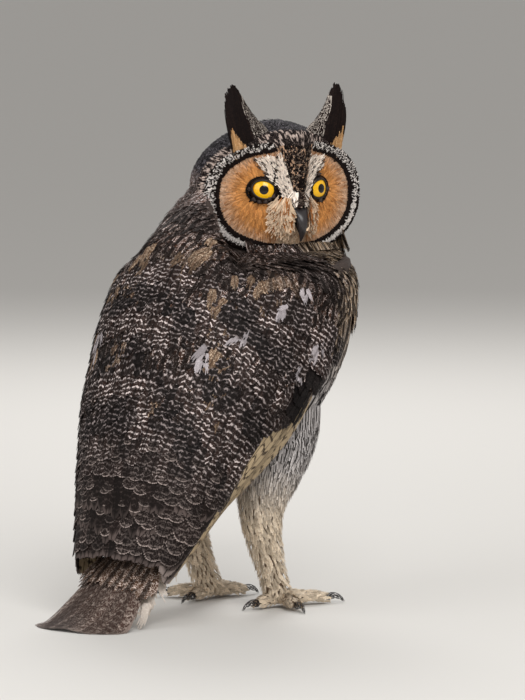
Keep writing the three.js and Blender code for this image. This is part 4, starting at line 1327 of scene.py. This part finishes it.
def smooth_copy(name, slot, material):
    """A node's own form with its facets rounded."""
    copy = NODES[name].copy()
    copy.data = NODES[name].data.copy()
    copy.name = name + "_smooth"
    copy.parent = None
    copy.matrix_world = NODES[name].matrix_world.copy()
    bpy.context.scene.collection.objects.link(copy)
    copy.data.materials.clear()
    copy.data.materials.append(material)
    copy.data.shade_smooth()
    rounded = copy.modifiers.new("round", "SUBSURF")
    rounded.levels = rounded.render_levels = 2
    dress(copy, slot, name)


# Floor, light and camera

FLOOR_REACH = 60.0
# Lamps: name, place in metres, size and power; all look at the bird's middle
LAMPS = [
    ("key", (-1.3, 0.9, 1.5), 1.1, 26),
    ("fill", (0.3, 1.9, 0.9), 1.4, 12),
    ("rim", (0.9, -1.1, 1.3), 0.8, 14),
]
LAMP_AIM = (0, 0, 0.15)
VIEW_WAY = np.array([0.643, -0.766, 0.0])
VIEW_RIGHT = np.array([-0.766, -0.643, 0.0])
VIEW_TILT = 5 * RAD
VIEW_DISTANCE, VIEW_LENS = 3.0, 262.3
VIEW_ASIDE, VIEW_UP = -4.41, 146.06


def looking(name, data, place, way):
    """A lamp or camera at a place, turned to look along a way."""
    obj = new_object(name, data)
    obj.location = place
    obj.rotation_mode = "QUATERNION"
    obj.rotation_quaternion = Vector(way).to_track_quat("-Z", "Y")
    return obj


def stage():
    """A pale floor, soft light from all round and three lamps."""
    floor = bpy.data.meshes.new("floor")
    corners = [(-FLOOR_REACH, -FLOOR_REACH, 0), (FLOOR_REACH, -FLOOR_REACH, 0), (FLOOR_REACH, FLOOR_REACH, 0),
               (-FLOOR_REACH, FLOOR_REACH, 0)]
    floor.from_pydata(corners, [], [(0, 1, 2, 3)])
    floor.materials.append(plain("floor", (214, 211, 206), 0.85))
    new_object("floor", floor)
    world = bpy.data.worlds.new("studio")
    world.use_nodes = True
    background = world.node_tree.nodes["Background"].inputs
    background["Color"].default_value = (0.84, 0.83, 0.82, 1)
    background["Strength"].default_value = 0.55
    bpy.context.scene.world = world
    bpy.context.scene.view_settings.view_transform = "Standard"
    for name, place, size, power in LAMPS:
        light = bpy.data.lights.new(name, "AREA")
        light.size, light.energy = size, power
        looking(name, light, place, np.array(LAMP_AIM) - place)


def camera():
    """The photo's view: over the bird's right shoulder from behind, five degrees above level."""
    along = VIEW_WAY * math.cos(VIEW_TILT) - np.array([0, 0, math.sin(VIEW_TILT)])
    up = np.cross(VIEW_RIGHT, along)
    middle = (VIEW_RIGHT * VIEW_ASIDE + up * VIEW_UP + SHIFT) * MM
    lens = bpy.data.cameras.new("photo view")
    lens.sensor_width = 36
    lens.lens = VIEW_LENS
    lens.clip_start = 0.1
    lens.dof.use_dof = False
    bpy.context.scene.camera = looking("photo view", lens, middle - along * VIEW_DISTANCE, along)


# The bird

FLESH = ["head", "neck", "torso", "leg_left", "leg_right", "foot_left", "foot_right"]

flesh_skin(skin_finish(), FLESH)
soft = plumage("plumage")
vane = plumage("vane", edge_at=(0.945, 0.985), roughness=0.62)
horn_dark = horn("horn", (46, 42, 42))
lid_skin = plain("lid skin", (20, 14, 12), 0.45)
# Near black for the nostril beads: painted shade in place of the inside of a real opening
black = plain("black", (8, 7, 7), 0.6)
base = plain("under vane", (40, 33, 31), 0.9)
coat_back(soft)
coat_breast(soft)
coat_crown(soft)
coat_face(soft)
coat_legs(soft)
tail_coat(vane)
bill("bill_upper", BILL_TOP, horn_dark)
bill("bill_lower", BILL_LOW, horn_dark)
for hand, side in SIDES.items():
    wing(hand, vane)
    wing_base(hand, base)
    tuft(hand, soft)
    eye(hand, lid_skin)
    nostril(hand, black)
    for number in range(1, 5):
        smooth_copy(f"claw_{side}_{number}", "claw", horn_dark)
stage()
camera()
